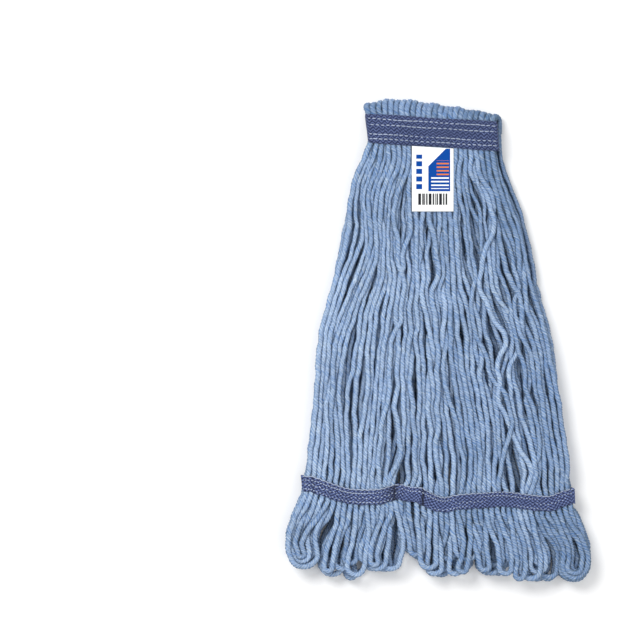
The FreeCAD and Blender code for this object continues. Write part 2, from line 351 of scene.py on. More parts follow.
def tone_with_painted_shade(path, corners, tone):
    """Tone of each ring corner: the strand's own, less painted shade where the corner faces its neighbours.

    Outwards is away from the fold's axis, so straight up or down in the halves. With o = the
    corner's distance outwards over the ring's reach, tone = own - 3.5 smooth step of
    (0.66 - |o|) / 0.76, which is painted shade in the crevices between strands. The yarn is also
    painted a little darker, as broad painted shade, at the loops, towards the belt, over the fold
    and to the right, and the painted crevice shade is weaker over the fold.
    """
    fold = FOLD_TOP - FOLD_SLOPE * (path[:, 0] - HEAD_X)
    axis = np.stack([path[:, 0], np.minimum(path[:, 1], fold), np.full(len(path), PARTING)], axis=1)
    out = path - axis
    out /= np.linalg.norm(out, axis=1, keepdims=True) + 1e-9
    spoke = corners - path[:, None]
    reach = np.linalg.norm(spoke, axis=2).max(axis=1, keepdims=True)
    outward = (spoke * out[:, None]).sum(axis=2) / reach
    x, y = path[:, :1], path[:, 1:2]
    at_loops, at_fold, rightward = ease((-150 - y) / 30), ease((y - 208) / 20), ease((x + 30) / 90)
    # Broad painted shade: darker at the loops, towards the belt, over the fold and to the right.
    broad_shade = 0.4 * at_loops + 0.7 * at_fold + 0.45 * rightward + 0.55 * ease((y - 40) / 100)
    # Painted shade where a corner faces its neighbours, weaker over the fold.
    shade = 3.5 - 2.2 * ease((y - 208) / 14)
    return tone - broad_shade - shade * ease((0.66 - np.abs(outward)) / 0.76)


def ring_faces(count, columns, closed_path=False):
    """Faces between rings of corners, and a fan over each end unless the path is closed.

    Ring r starts at corner r times columns. The fans' centres are the two corners after the rings.
    """
    ring = np.arange(count if closed_path else count - 1)[:, None] * columns
    following = (ring + columns) % (count * columns)
    here = np.arange(columns)[None]
    ahead = (here + 1) % columns
    quads = np.stack([ring + here, ring + ahead, following + ahead, following + here], axis=2)
    quads = quads.reshape(-1, 4)
    if closed_path:
        return quads
    here, ahead = here[0], ahead[0]
    centre = count * columns
    last = centre - columns
    blank = np.full(columns, -1)
    lower = np.stack([ahead, here, np.full(columns, centre), blank], axis=1)
    upper = np.stack([last + here, last + ahead, np.full(columns, centre + 1), blank], axis=1)
    return np.vstack([quads, lower, upper])


def with_centres(corners):
    """The rings' corners in one list, followed by the centres of the first and the last ring."""
    return np.vstack([corners.reshape(-1, 3), corners[0].mean(axis=0), corners[-1].mean(axis=0)])


def corner_uvs(*pairs):
    """UVs of the quads from the (u, v) arrays of their four corners in turn."""
    return np.stack([np.stack(pair, axis=-1) for pair in pairs], axis=-2).reshape(-1, 4, 2)


def tube_arrays(corners, travelled, tone):
    """Vertices, faces, UVs and tone of one closed tube made of rings, with a fan over each end.

    u goes once round the tube, and v is the distance travelled in centimetres.
    """
    count, columns = corners.shape[:2]
    left = np.arange(columns) / columns
    right = (np.arange(columns) + 1) / columns
    v0 = np.repeat(travelled[:-1] * UV_PER_MM, columns)
    v1 = np.repeat(travelled[1:] * UV_PER_MM, columns)
    u0 = np.tile(left, count - 1)
    u1 = np.tile(right, count - 1)
    uv = corner_uvs((u0, v0), (u1, v0), (u1, v1), (u0, v1))
    caps = np.zeros((2, columns, 4, 2))
    caps[:, :, 0, 0] = right
    caps[:, :, 1:3, 0] = left[:, None]
    caps[0, ..., 1] = travelled[0] * UV_PER_MM
    caps[1, ..., 1] = travelled[-1] * UV_PER_MM
    tones = np.broadcast_to(tone, corners.shape[:2])
    tones = np.concatenate([tones.ravel(), tones[0, :1], tones[-1, :1]])
    return with_centres(corners), ring_faces(count, columns), np.concatenate([uv, *caps]), tones


def joined(parts):
    """Several tubes' arrays as one set of arrays, with the face numbers moved along."""
    vertices, faces, uvs, tones, base = [], [], [], [], 0
    for part in parts:
        vertices.append(part[0])
        faces.append(np.where(part[1] >= 0, part[1] + base, -1))
        uvs.append(part[2])
        tones.append(part[3])
        base += len(part[0])
    return tuple(np.concatenate(rows) for rows in (vertices, faces, uvs, tones))


# ---------------------------------------------------------------- laying the yarn


BAND_FLATTENING = 0.32


def strand_radius(eta, is_primary, is_core, full):
    """Radius and flatness of each strand along the half.

    The inner strands are thin where the belt packs them and full below. Every strand is pressed
    flat between the tail bands: flat = 1 away from them, less the flattening within the band.
    """
    packed = np.interp(eta, [-60, 60, 120, 200], [full - 0.1, full - 0.35, full - 0.8, 1.95])
    radius = np.where(is_primary[:, None], full, packed[None])
    flat = 1.0 - BAND_FLATTENING * ease((17.0 - np.abs(eta - TAIL_Y)) / 9.0)
    return np.where(is_core[:, None], np.minimum(radius, full - 0.15), radius), flat


SWEEPS = (
    # x, y, sideways shift, half width, half length: groups of front strands pushed over together
    (-36.0, -150.0, -10.0, 13.0, 26.0),
    (-8.0, -112.0, 7.0, 14.0, 30.0),
    (64.0, -98.0, 7.0, 16.0, 34.0),
    (32.0, -20.0, -6.0, 12.0, 30.0),
    (84.0, -10.0, 6.0, 14.0, 32.0),
    (108.0, -118.0, 5.0, 14.0, 20.0),
    (40.0, 70.0, 5.0, 12.0, 36.0),
    (-82.0, 104.0, 11.0, 20.0, 38.0),
    (-62.0, 62.0, 9.0, 20.0, 38.0),
    (-104.0, 2.0, -5.0, 20.0, 36.0),
    (-94.0, -60.0, -5.0, 18.0, 34.0),
)
PARTINGS = (
    # x, y, half width that it opens, half length: places where the front strands part
    (88.0, -78.0, 3.4, 42.0),
    (64.0, -52.0, 3.0, 30.0),
    (104.0, -58.0, 3.0, 30.0),
    (24.0, -2.0, 2.6, 26.0),
    (60.0, 10.0, 2.4, 24.0),
    (-34.0, -142.0, 3.2, 14.0),
    (72.0, -34.0, 2.2, 30.0),
    (-60.0, -100.0, 1.8, 34.0),
    (46.0, 96.0, 2.0, 26.0),
    (6.0, -110.0, 2.6, 26.0),
    (-84.0, -20.0, 1.6, 50.0),
)


STRAY_LENGTHS = np.array([270.0, 140.0, 74.0, 38.0])
STRAY_SIZES = np.array([1.0, 0.5, 0.26, 0.16])
ROGUE_RISE = 2.6
# Least height above the parting plane, and the greatest for the strands and for the loops.
LOWEST = 0.4
STRAND_ROOFS = {"rear": 13.3, "front": 14.8}
LOOP_ROOFS = {"rear": 13.3, "front": 15.2}


def strand_guides(side, eta, yarn, rng):
    """Where each strand would like to lie: x and h at each station, before the strands push apart.

    Face strands share the width by weight: every second one is hidden below its neighbours near
    the belt and comes to the surface further down, where the half is wider. Core strands share
    the width evenly. Each strand strays by a sum of slow sine waves, and whole groups stray
    together by waves in x and y, which opens and closes the gaps. A few rogues stray twice as
    far and ride over their neighbours. At the tail band all strands come to its own height.
    """
    count = FACE + CORE
    names = [f"{side}_hank_{n}" for n in range(1, HANKS + 1)]
    left, right = section(names, np.clip(eta, -168, 200))
    left, right = soften(left, 9), soften(right, 9)
    is_face = np.arange(count) < FACE
    is_primary = is_face & (np.arange(count) % 2 == 0)
    radius, flat = strand_radius(eta, is_primary, ~is_face, yarn.radius / MM)
    radius = radius * rng.uniform(0.9, 1.06, (count, 1))

    emerge = rng.permutation(FACE // 2) / (FACE // 2)
    emerge = np.interp(emerge, [0, 0.4, 0.6, 0.8, 1], [192, 152, 100, 50, -20])
    weight = np.ones((FACE, len(eta)))
    weight[1::2] = 0.1 + 0.9 * ease((emerge[:, None] + 16 - eta[None]) / 32)
    share = (np.cumsum(weight, axis=0) - weight / 2) / weight.sum(axis=0)
    core_share = (np.arange(CORE) + 0.5 + rng.uniform(-0.4, 0.4, CORE)) / CORE
    share = np.vstack([share, np.repeat(core_share[:, None], len(eta), axis=1)])
    middle = (left + right) / 2
    half = (right - left) / 2
    x = middle + (2 * share - 1) * (half - radius)

    free = ease((186 - eta) / 60) * ease((eta + 166) / 40)
    rightward = 0.85 + 0.8 * ease((x - middle) / (1.5 * half) + 0.42)
    rightward = rightward * (1.0 - 0.75 * np.abs(2 * share - 1) ** 6)
    turn = rng.uniform(0, 2 * np.pi, (count, len(STRAY_LENGTHS)))
    scale = rng.uniform(0.5, 1.3, (count, 1)) * (STRAY_SIZES * yarn.wander / MM)
    waves = np.sin(2 * np.pi * eta / STRAY_LENGTHS[:, None] + turn[..., None])
    stray = (scale[..., None] * waves).sum(axis=1)
    rogue = (rng.random(count) < 0.05 + 0.28 * share[:, 40]) & (np.abs(share[:, 40] - 0.5) < 0.44)
    stray *= np.where(rogue, 1.9, 1.0)[:, None]
    drift = np.zeros_like(x)
    for _ in range(6):
        across = 2 * np.pi / rng.uniform(24, 62)
        down = 2 * np.pi / rng.uniform(170, 420)
        down = down * eta * rng.choice([-1, 1])
        drift += 1.15 * np.sin(across * x + down + rng.uniform(0, 2 * np.pi))
    x = x + free * rightward * (stray + drift)
    if side == "front":
        for gap_x, gap_y, open_by, reach in PARTINGS:
            away = x - gap_x
            push = np.tanh(away / 4.0) * open_by * np.exp(-((away / 24.0) ** 2))
            x = x + push * np.exp(-(((eta - gap_y) / reach) ** 2))
        for mid_x, mid_y, shift, wide, reach in SWEEPS:
            along = np.exp(-(((eta - mid_y) / reach) ** 2))
            x = x + shift * np.exp(-(((x - mid_x) / wide) ** 2)) * along

    sunk = 2 * np.pi * eta / rng.uniform(90, 240, (count, 1)) + rng.uniform(0, 2 * np.pi, (count, 1))
    sunk = 0.5 + 0.5 * np.sin(sunk)
    top = 12.9 - radius - 1.9 * free * sunk**2
    h = np.where(is_face[:, None], top, LOWEST + radius)
    under = 6.4 + rng.uniform(-1, 1, (FACE // 2, 1))
    h[1:FACE:2] = under + (top[1:FACE:2] - under) * ease((emerge[:, None] + 8 - eta[None]) / 30)
    h = h + np.where(rogue & is_face, ROGUE_RISE, 0.0)[:, None] * free
    at_band = ease(1.0 - np.abs(eta - TAIL_Y) / 16.0)
    h = h + (np.where(is_face, 8.8, 4.6)[:, None] - h) * at_band
    return x, h, radius, flat, left, right, is_primary


NEIGHBOURS = 18
PUSH_SHARE = 0.55
PULL_SHARE = 0.03
SMOOTH_SHARE = 0.24


def settle_sections(x, h, radius, flat, eta, left, right, side, steps):
    """Push overlapping strands apart, station by station, while each strand stays smooth.

    At one station strands are discs in the (x, h) plane. Two discs closer than the sum of their
    radii move apart by half the overlap each. Each strand is drawn back to its guide a little,
    its offset from the guide is smoothed along its length, and it is held between the parting
    plane and a roof, which is lower at the tail band, inside the belt and below the label.
    """
    order = np.argsort(x[:, len(eta) // 2])
    back = np.argsort(order)
    guide_x, guide_h, size = x[order], h[order], radius[order] * flat * 0.94
    at_band = ease((24.0 - np.abs(eta - TAIL_Y)) / 14.0)
    at_belt = ease((eta - 176) / 16)
    ceiling = STRAND_ROOFS[side]
    roof = ceiling + (11.0 - ceiling) * at_band + (12.45 - ceiling) * at_belt * (1 - at_band)
    floor = LOWEST + 2.0 * at_band
    roof = np.repeat(roof[None], len(x), axis=0)
    if side == "front":
        low, high = (np.array(corner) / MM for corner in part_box("label"))
        under_x = ease((guide_x - low[0] + 9) / 5) * ease((high[0] + 9 - guide_x) / 5)
        under_label = under_x * ease((eta - low[1] + 12) / 8) * ease((high[1] + 20 - eta) / 8)
        roof = roof + (12.9 - roof) * under_label
    now_x, now_h = guide_x.copy(), guide_h.copy()
    for _ in range(steps):
        move_x, move_h = np.zeros_like(now_x), np.zeros_like(now_h)
        for gap in range(1, NEIGHBOURS + 1):
            dx = now_x[gap:] - now_x[:-gap]
            dh = now_h[gap:] - now_h[:-gap]
            apart = np.sqrt(dx * dx + dh * dh) + 1e-6
            push = np.clip(size[gap:] + size[:-gap] - apart, 0, None) * 0.5 / apart
            move_x[gap:] += dx * push
            move_x[:-gap] -= dx * push
            move_h[gap:] += dh * push
            move_h[:-gap] -= dh * push
        now_x += PUSH_SHARE * move_x + PULL_SHARE * (guide_x - now_x)
        now_h += PUSH_SHARE * move_h + PULL_SHARE * (guide_h - now_h)
        for values, guide in ((now_x, guide_x), (now_h, guide_h)):
            off = values - guide
            values[:, 1:-1] += SMOOTH_SHARE * (off[:, 2:] - 2 * off[:, 1:-1] + off[:, :-2])
        now_h = np.clip(now_h, floor + size, roof - size)
        now_x = np.clip(now_x, left + size - 1.5, right - size + 1.5)
    return now_x[back], now_h[back]


HEM = (
    # x and y of the lower edge of the loops, from left to right
    (-156.0, -208.0),
    (-138.0, -228.0),
    (-124.0, -226.0),
    (-102.0, -239.0),
    (-88.0, -240.0),
    (-65.0, -235.0),
    (-50.0, -231.0),
    (-34.0, -214.0),
    (-24.0, -224.0),
    (-16.0, -223.0),
    (-5.0, -237.0),
    (19.0, -236.0),
    (31.0, -228.0),
    (43.0, -235.0),
    (67.0, -236.0),
    (80.0, -241.0),
    (127.0, -243.0),
    (140.0, -239.0),
    (156.0, -228.0),
)
NESTED_HANKS = (0, 7)
LOOPS_PER_HANK = (FACE_PER_HANK + CORE_PER_HANK) // 2


def strand_number(hank, place):
    """Number of a strand from its hank (0 to 7) and its place in it (face first, then core)."""
    if place < FACE_PER_HANK:
        return hank * FACE_PER_HANK + place
    return FACE + hank * CORE_PER_HANK + place - FACE_PER_HANK


def loop_leg(start, end, bow):
    """Four points of a loop's leg from its strand towards the turn: x and h change by smooth steps."""
    share = np.array([[0.0], [0.28], [0.55], [0.82]])
    points = start + (end - start) * np.hstack([ease(share * 1.15), share, ease(share * 1.6)])
    points[:, 0] += bow * np.sin(np.pi * share[:, 0])
    return points


NESTED_WIDTHS = np.array([14.0, 10.8, 6.2, 3.9, 8.4])
NESTED_SHIFTS = np.array([0.0, 0.6, 3.0, -4.0, -1.5])
LOOP_WIDTHS = (4.2, 5.4, 6.8, 8.8, 11.5)
LOOP_SHORTS = (0.0, 0.5, 3.0, 8.0, 15.0)
LOOP_LEVELS = (4.0, 6.5, 9.0, 10.5, 11.5)
LOOP_POINTS = 41
MATCHING_SLIP = 7.0


def loop_shapes(side, tails, rng):
    """First shape of every loop below the tail band, before the loops push apart.

    A loop runs down from one strand, turns about a half circle of radius w, tilted a little,
    round (c, bottom + w), and goes up to another strand. Strands and legs are matched from left
    to right by places that are first jittered, so that some legs cross. The bottoms follow the
    hem, each short of it by its own amount. In the outer hanks the loops nest in each other.
    """
    hem_x, hem_y = np.array(HEM).T
    full = bpy.context.scene.mop_yarn.radius / MM
    shapes, pairs = [], []
    for hank in range(HANKS):
        edges = section([f"{side}_hank_{hank + 1}"], [-203.0])
        x0, x1 = float(edges[0][0]), float(edges[1][0])
        if hank in NESTED_HANKS:
            wide = NESTED_WIDTHS
            centre = (x0 + x1) / 2 + NESTED_SHIFTS + rng.uniform(-1.5, 1.5, LOOPS_PER_HANK)
            short = (NESTED_WIDTHS[0] - wide) * 0.9
            bow = np.full(LOOPS_PER_HANK, -4.0 if hank == 0 else 3.0)
        else:
            wide = rng.permutation(LOOP_WIDTHS)
            centre = np.arange(LOOPS_PER_HANK) + rng.uniform(0.2, 0.8, LOOPS_PER_HANK)
            centre = x0 + (x1 - x0) * centre / LOOPS_PER_HANK
            room = wide + full - 7.0
            centre = np.clip(centre, x0 + room, x1 - room)
            short = rng.permutation(LOOP_SHORTS) + rng.uniform(0, 2, LOOPS_PER_HANK)
            bow = rng.uniform(-4.5, 4.5, LOOPS_PER_HANK)
        level = rng.permutation(LOOP_LEVELS)
        tilt = np.radians(rng.uniform(-26, 26, LOOPS_PER_HANK))
        bottom = np.interp(centre, hem_x, hem_y) + full + short
        numbers = np.array([strand_number(hank, place) for place in range(2 * LOOPS_PER_HANK)])
        places = tails[numbers, 0] + rng.uniform(-MATCHING_SLIP, MATCHING_SLIP, len(numbers))
        owner = np.zeros(2 * LOOPS_PER_HANK, int)
        owner[np.argsort(np.concatenate([centre - wide, centre + wide]))] = numbers[np.argsort(places)]
        for loop in range(LOOPS_PER_HANK):
            a, b = owner[loop], owner[loop + LOOPS_PER_HANK]
            angle = np.pi * np.array([1.0, 1.25, 1.5, 1.75, 2.0]) + tilt[loop]
            turn = np.stack(
                [
                    centre[loop] + wide[loop] * np.cos(angle),
                    bottom[loop] + wide[loop] * (1 + np.sin(angle)),
                    np.full(5, level[loop]),
                ],
                axis=1,
            )
            down = loop_leg(tails[a], turn[0], bow[loop])
            up = loop_leg(tails[b], turn[-1], bow[loop])[::-1]
            points = np.vstack([down, turn, up])
            at = np.linspace(0, len(points) - 1, 300)
            run = distances(spline(points, at))
            pick = np.interp(np.linspace(0, run[-1], LOOP_POINTS), run, at)
            shapes.append(spline(points, pick))
            pairs.append((hank, a, b))
    return np.array(shapes), pairs


NEAR_CHECK_EVERY = 6


def settle_loops(shapes, radius, ceiling, steps):
    """Push the loops apart in space while each keeps its shape.

    Points of two loops, or of one loop four or more points apart, that are closer than two radii
    move apart by half the overlap each. The offset from the first shape is smoothed along the
    loop and drawn back a little. Points nearest the tail band stay where they are. Which pairs
    may touch is looked up again every few steps.
    """
    home = shapes.copy()
    chains, count = shapes.shape[:2]
    chain = np.repeat(np.arange(chains), count)
    index = np.tile(np.arange(count), chains)
    held = np.ones((1, count, 1))
    held[0, [0, -1]] = 0.0
    held[0, [1, -2]] = 0.4
    for step in range(steps):
        flat = shapes.reshape(-1, 3)
        if step % NEAR_CHECK_EVERY == 0:
            away = np.zeros((len(flat), len(flat)), np.float32)
            for axis in range(3):
                away += (flat[:, None, axis] - flat[None, :, axis]) ** 2
            near = (away < (2 * radius + 3) ** 2) & (chain[:, None] <= chain[None])
            near &= (chain[:, None] != chain[None]) | (index[None] - index[:, None] > 3)
            one, two = np.nonzero(near)
        gap = flat[two] - flat[one]
        apart = np.linalg.norm(gap, axis=1) + 1e-6
        push = gap * (np.clip(2 * radius - apart, 0, None) * 0.5 / apart)[:, None]
        move = np.zeros_like(flat)
        for axis in range(3):
            pushed = [np.bincount(rows, push[:, axis], len(flat)) for rows in (two, one)]
            move[:, axis] += pushed[0] - pushed[1]
        shapes = shapes + held * (0.4 * move.reshape(shapes.shape) + 0.02 * (home - shapes))
        off = shapes - home
        shapes[:, 1:-1] += 0.22 * held[:, 1:-1] * (off[:, 2:] - 2 * off[:, 1:-1] + off[:, :-2])
        shapes[..., 2] = np.clip(shapes[..., 2], LOWEST + radius, ceiling - radius)
    return shapes


# Halves that are already laid, and the rear half's tubes over the fold.
LAID = {}
STATIONS = 80
# Stations that a front strand leaves out at the top, because the fold's own tubes lie there.
FRONT_START = 2
LOOP_STEPS = 84


def lay_half(side):
    """All strands and loops of one half, worked out once.

    Returns a list of [hank, first strand, second strand, points, radii, flatness], one for each
    loop with its two strands, then every strand's own points, and which strands are primary.
    """
    if side in LAID:
        return LAID[side]
    yarn = bpy.context.scene.mop_yarn
    rng = np.random.default_rng(SEEDS[side])
    full = yarn.radius / MM
    eta = np.linspace(FOLD_TOP, TAIL_Y - 12.0, STATIONS)
    x, h, radius, flat, left, right, is_primary = strand_guides(side, eta, yarn, rng)
    x, h = settle_sections(x, h, radius, flat, eta, left, right, side, yarn.settle_steps)
    if side == "front":
        # Within the headband every strand lies clear of its back wall.
        h = np.maximum(h, radius + 1.6 * ease((eta - 184.0) / 8.0))
    slant = -FOLD_SLOPE * (x - HEAD_X) * ease((eta - 140.0) / 70.0)
    drop = (band_middle(x) - TAIL_Y) * ease((-60.0 - eta) / 90.0)
    y = eta + slant + drop
    bodies = np.stack([x, y, h], axis=2)
    shapes, pairs = loop_shapes(side, bodies[:, -1], rng)
    shapes = settle_loops(shapes, 0.9 * full, LOOP_ROOFS[side], LOOP_STEPS)
    laid = []
    for shape, (hank, a, b) in zip(shapes, pairs):
        start = FRONT_START if side == "front" else 0
        loop = shape[1:-1]
        points = np.vstack([bodies[a, start:], loop, bodies[b, start:][::-1]])
        opened = flat[-1] + (1.0 - flat[-1]) * ease(np.arange(len(loop)) / 4.0)
        flats = np.concatenate([flat[start:], np.minimum(opened, opened[::-1]), flat[start:][::-1]])
        sizes = [radius[a, start:], np.full(len(loop), full * 1.03), radius[b, start:][::-1]]
        laid.append([hank, a, b, points, np.concatenate(sizes), flats])
    LAID[side] = (laid, bodies, is_primary)
    return LAID[side]


FOLD_REACH = 9.6
FOLD_BULGE = (
    # x, and how much further than the reach the fold stands out there
    (-70.0, -7.0),
    (-62.0, -4.0),
    (-50.0, 0.2),
    (-38.0, 2.2),
    (-26.0, 2.1),
    (0.0, -0.3),
    (21.0, -1.6),
    (41.0, -3.7),
    (62.0, -5.6),
)


def fold_ends(strand, bodies, front_bodies):
    """Points of a rear face strand that goes on over the fold and under the belt.

    Over the fold the strand follows half an ellipse: y = fold + R sin(t), h from -h0 to +h1 by
    -cos(t), and x slides from the rear strand's to the front strand's. R follows the fold's
    bulge. At the left end the strands spread outwards before they go in under the belt.
    """
    rear, front = bodies[strand, 0], front_bodies[strand, 0]
    turn = np.linspace(0, np.pi, 9)[1:]
    x = rear[0] + (front[0] - rear[0]) * (1 - np.cos(turn)) / 2
    fold = FOLD_TOP - FOLD_SLOPE * (x - HEAD_X)
    bulge = np.interp(x, *np.array(FOLD_BULGE).T) + 0.7 * math.sin(strand * 2.4)
    y = fold + (FOLD_REACH + bulge) * np.sin(turn)
    h = np.where(turn < np.pi / 2, -rear[2] * np.cos(turn), (front[2] - 0.5) * -np.cos(turn))
    spread = -8.5 * np.clip((-6 - x) / 60, 0, 1) ** 1.3 + 1.5 * np.clip((x - 30) / 30, 0, 1)
    held = np.where(turn > np.pi / 2, 0.7 + 0.3 * np.sin(turn), np.sin(turn))
    arc = np.stack([x + spread * held, y, h], axis=1)
    tail_x = x[-1] + spread[-1] * np.array([0.55, 0.3, 0.1])
    tail_y = fold[-1] - np.array([4.5, 9.0, 13.5])
    tail = np.stack([tail_x, tail_y, np.full(3, arc[-1, 2])], axis=1)
    return np.vstack([arc, tail])


# ---------------------------------------------------------------- materials


def plug(value, socket):
    """Feed an input socket with a Wire, a colour or a number."""
    if isinstance(value, Wire):
        socket.id_data.links.new(value.socket, socket)
    elif hasattr(value, "__len__"):
        socket.default_value = (*value[:3], 1.0)
    else:
        socket.default_value = value


def add_node(tree, kind, **values):
    """Add a node and set its fields, or its inputs where the node has no field of that name."""
    made = tree.nodes.new(kind)
    for key, value in values.items():
        if hasattr(made, key):
            setattr(made, key, value)
        else:
            plug(value, made.inputs[key.replace("_", " ")])
    return made


class Wire:
    """A node's output that can be reckoned with: every operator adds a Math node to its tree."""

    def __init__(self, node, output=0):
        self.socket = node.outputs[output]

    def maths(self, operation, other=None, swapped=False):
        made = add_node(self.socket.id_data, "ShaderNodeMath", operation=operation)
        plug(self, made.inputs[1 if swapped else 0])
        if other is not None:
            plug(other, made.inputs[0 if swapped else 1])
        return Wire(made)

    def __add__(self, other):
        return self.maths("ADD", other)

    def __sub__(self, other):
        return self.maths("SUBTRACT", other)

    def __rsub__(self, other):
        return self.maths("SUBTRACT", other, swapped=True)

    def __mul__(self, other):
        return self.maths("MULTIPLY", other)

    def __truediv__(self, other):
        return self.maths("DIVIDE", other)

    def __gt__(self, other):
        return self.maths("GREATER_THAN", other)

    def __lt__(self, other):
        return self.maths("LESS_THAN", other)

    def wave(self, pitch):
        """Sine of 2 pi times this over the pitch."""
        return (self * (2 * math.pi / pitch)).maths("SINE")


def parted(tree, source):
    """X and Y of a vector as two Wires."""
    parts = add_node(tree, "ShaderNodeSeparateXYZ", Vector=source)
    return Wire(parts, "X"), Wire(parts, "Y")


def noise(tree, source, **values):
    """A noise read at the source vector."""
    return Wire(add_node(tree, "ShaderNodeTexNoise", Vector=source, **values), "Fac")


def scaled(tree, source, gain):
    """A colour times a number."""
    made = add_node(tree, "ShaderNodeVectorMath", operation="SCALE", Scale=gain)
    plug(source, made.inputs[0])
    return Wire(made)


def mixed(tree, factor, low, high):
    """A colour between low and high."""
    made = add_node(tree, "ShaderNodeMix", data_type="RGBA")
    for place, value in ((0, factor), (6, low), (7, high)):
        plug(value, made.inputs[place])
    return Wire(made, 2)


def clamped(tree, value):
    """A value held between 0 and 1."""
    return Wire(add_node(tree, "ShaderNodeClamp", Value=value))


def object_place(tree):
    """Object coordinates."""
    return Wire(add_node(tree, "ShaderNodeTexCoord"), "Object")


def shader_group(name, inputs, build):
    """A shader node group, made once. build(tree, *inputs) returns its outputs by name.

    A socket whose default is a tuple, or an output named Colour, is a colour; the rest are numbers.
    """
    if name in bpy.data.node_groups:
        return bpy.data.node_groups[name]
    tree = bpy.data.node_groups.new(name, "ShaderNodeTree")
    for label, default in inputs.items():
        kind = "NodeSocketColor" if isinstance(default, tuple) else "NodeSocketFloat"
        tree.interface.new_socket(name=label, in_out="INPUT", socket_type=kind).default_value = default
    start = tree.nodes.new("NodeGroupInput")
    outputs = build(tree, *[Wire(start, label) for label in inputs])
    for label in outputs:
        kind = "NodeSocketColor" if label == "Colour" else "NodeSocketFloat"
        tree.interface.new_socket(name=label, in_out="OUTPUT", socket_type=kind)
    end = tree.nodes.new("NodeGroupOutput")
    for label, value in outputs.items():
        plug(value, end.inputs[label])
    return tree


def build_flecks(tree, colour, scale, fleck, cloud):
    """Heathered colour: two noises in Object coordinates lighten and darken a colour a little."""
    place = object_place(tree)
    fine = noise(tree, place, Scale=scale, Detail=2.0, Roughness=0.6)
    broad = noise(tree, place, Scale=28.0, Detail=3.0)
    gain = ((fine - 0.5) * fleck + (broad - 0.5) * cloud) * 2.0 + 1.0
    return {"Colour": scaled(tree, colour, gain), "Fleck": fine}


def flecked(tree, colour, scale, fleck, cloud):
    """The node group of a heathered colour, placed with its own values."""
    inputs = {"Colour": (0.5, 0.5, 0.5, 1), "Scale": 900.0, "Fleck": 0.2, "Cloud": 0.1}
    group = shader_group("Heathered colour", inputs, build_flecks)
    return add_node(
        tree, "ShaderNodeGroup", node_tree=group, Colour=colour, Scale=scale, Fleck=fleck, Cloud=cloud
    )


def build_plies(tree, scale, depth):
    """Plied yarn: a ridge mask from the UV's u, and fibre streaks that run with the plies.

    Ridge = 0.5 + 0.5 cos(2 pi plies u). The streaks are a noise read on a ring of u, so that it
    has no seam, and stretched along v.
    """
    u, v = parted(tree, Wire(add_node(tree, "ShaderNodeUVMap", uv_map="along"), "UV"))
    angle = u * (2 * math.pi)
    ridge = (angle * float(PLIES)).maths("COSINE") * 0.5 + 0.5
    ring = add_node(
        tree, "ShaderNodeCombineXYZ", X=angle.maths("COSINE"), Y=angle.maths("SINE"), Z=v * 0.55
    )
    streak = noise(tree, Wire(ring), Scale=scale, Detail=3.0, Roughness=0.65)
    return {"Ridge": ridge, "Streak": streak, "Height": streak * depth + ridge}


def plied(tree, scale, depth):
    """The node group of plied yarn, placed with its own streaks."""
    group = shader_group("Plied yarn", {"Streak scale": 3.4, "Streak depth": 0.35}, build_plies)
    return add_node(tree, "ShaderNodeGroup", node_tree=group, Streak_scale=scale, Streak_depth=depth)


def build_twill(tree, base, light, pitch, slant, lift, ribs, dots):
    """Herringbone webbing from UVs in centimetres.

    Rib = 0.5 + 0.5 sin(2 pi (slant p + v) / pitch), where p runs to and fro with u, so that the
    ribs turn round in columns. Dots = sin(2 pi u / 0.44) sin(2 pi v / 0.34) are single raised
    threads. The colour follows ribs x rib + dots x dots, and noise breaks both up.
    """
    spot = Wire(add_node(tree, "ShaderNodeUVMap", uv_map="along"), "UV")
    u, v = parted(tree, spot)
    shift = noise(tree, spot, Scale=1.6, Detail=2.0) * 0.12
    along = u.maths("PINGPONG", 0.3) * slant + v + shift
    rib = (along * (2 * math.pi) / pitch).maths("SINE") * 0.5 + 0.5
    grain = noise(tree, spot, Scale=8.0, Detail=3.0, Roughness=0.7)
    raised = u.wave(0.44) * (v + shift).wave(0.34) * dots
    lit = rib * ribs - 0.2 + raised + (grain - 0.5) * 2.2 + lift
    return {"Colour": mixed(tree, clamped(tree, lit), base, light), "Height": rib + grain * 0.5}


def new_material(name, roughness, sheen=0.0, sheen_roughness=0.5):
    """A material with a Principled shader; returns it, its tree and the shader."""
    material = bpy.data.materials.new(name)
    material.use_nodes = True
    tree = material.node_tree
    shader = tree.nodes["Principled BSDF"]
    shader.inputs["Roughness"].default_value = roughness
    shader.inputs["Specular IOR Level"].default_value = 0.25
    shader.inputs["Sheen Weight"].default_value = sheen
    shader.inputs["Sheen Roughness"].default_value = sheen_roughness
    return material, tree, shader


def add_bump(tree, shader, height, distance, strength):
    """A Bump node from a height in 0 to 1 and its real depth in metres."""
    bump = add_node(tree, "ShaderNodeBump", Strength=strength, Distance=distance, Height=height)
    plug(Wire(bump, "Normal"), shader.inputs["Normal"])


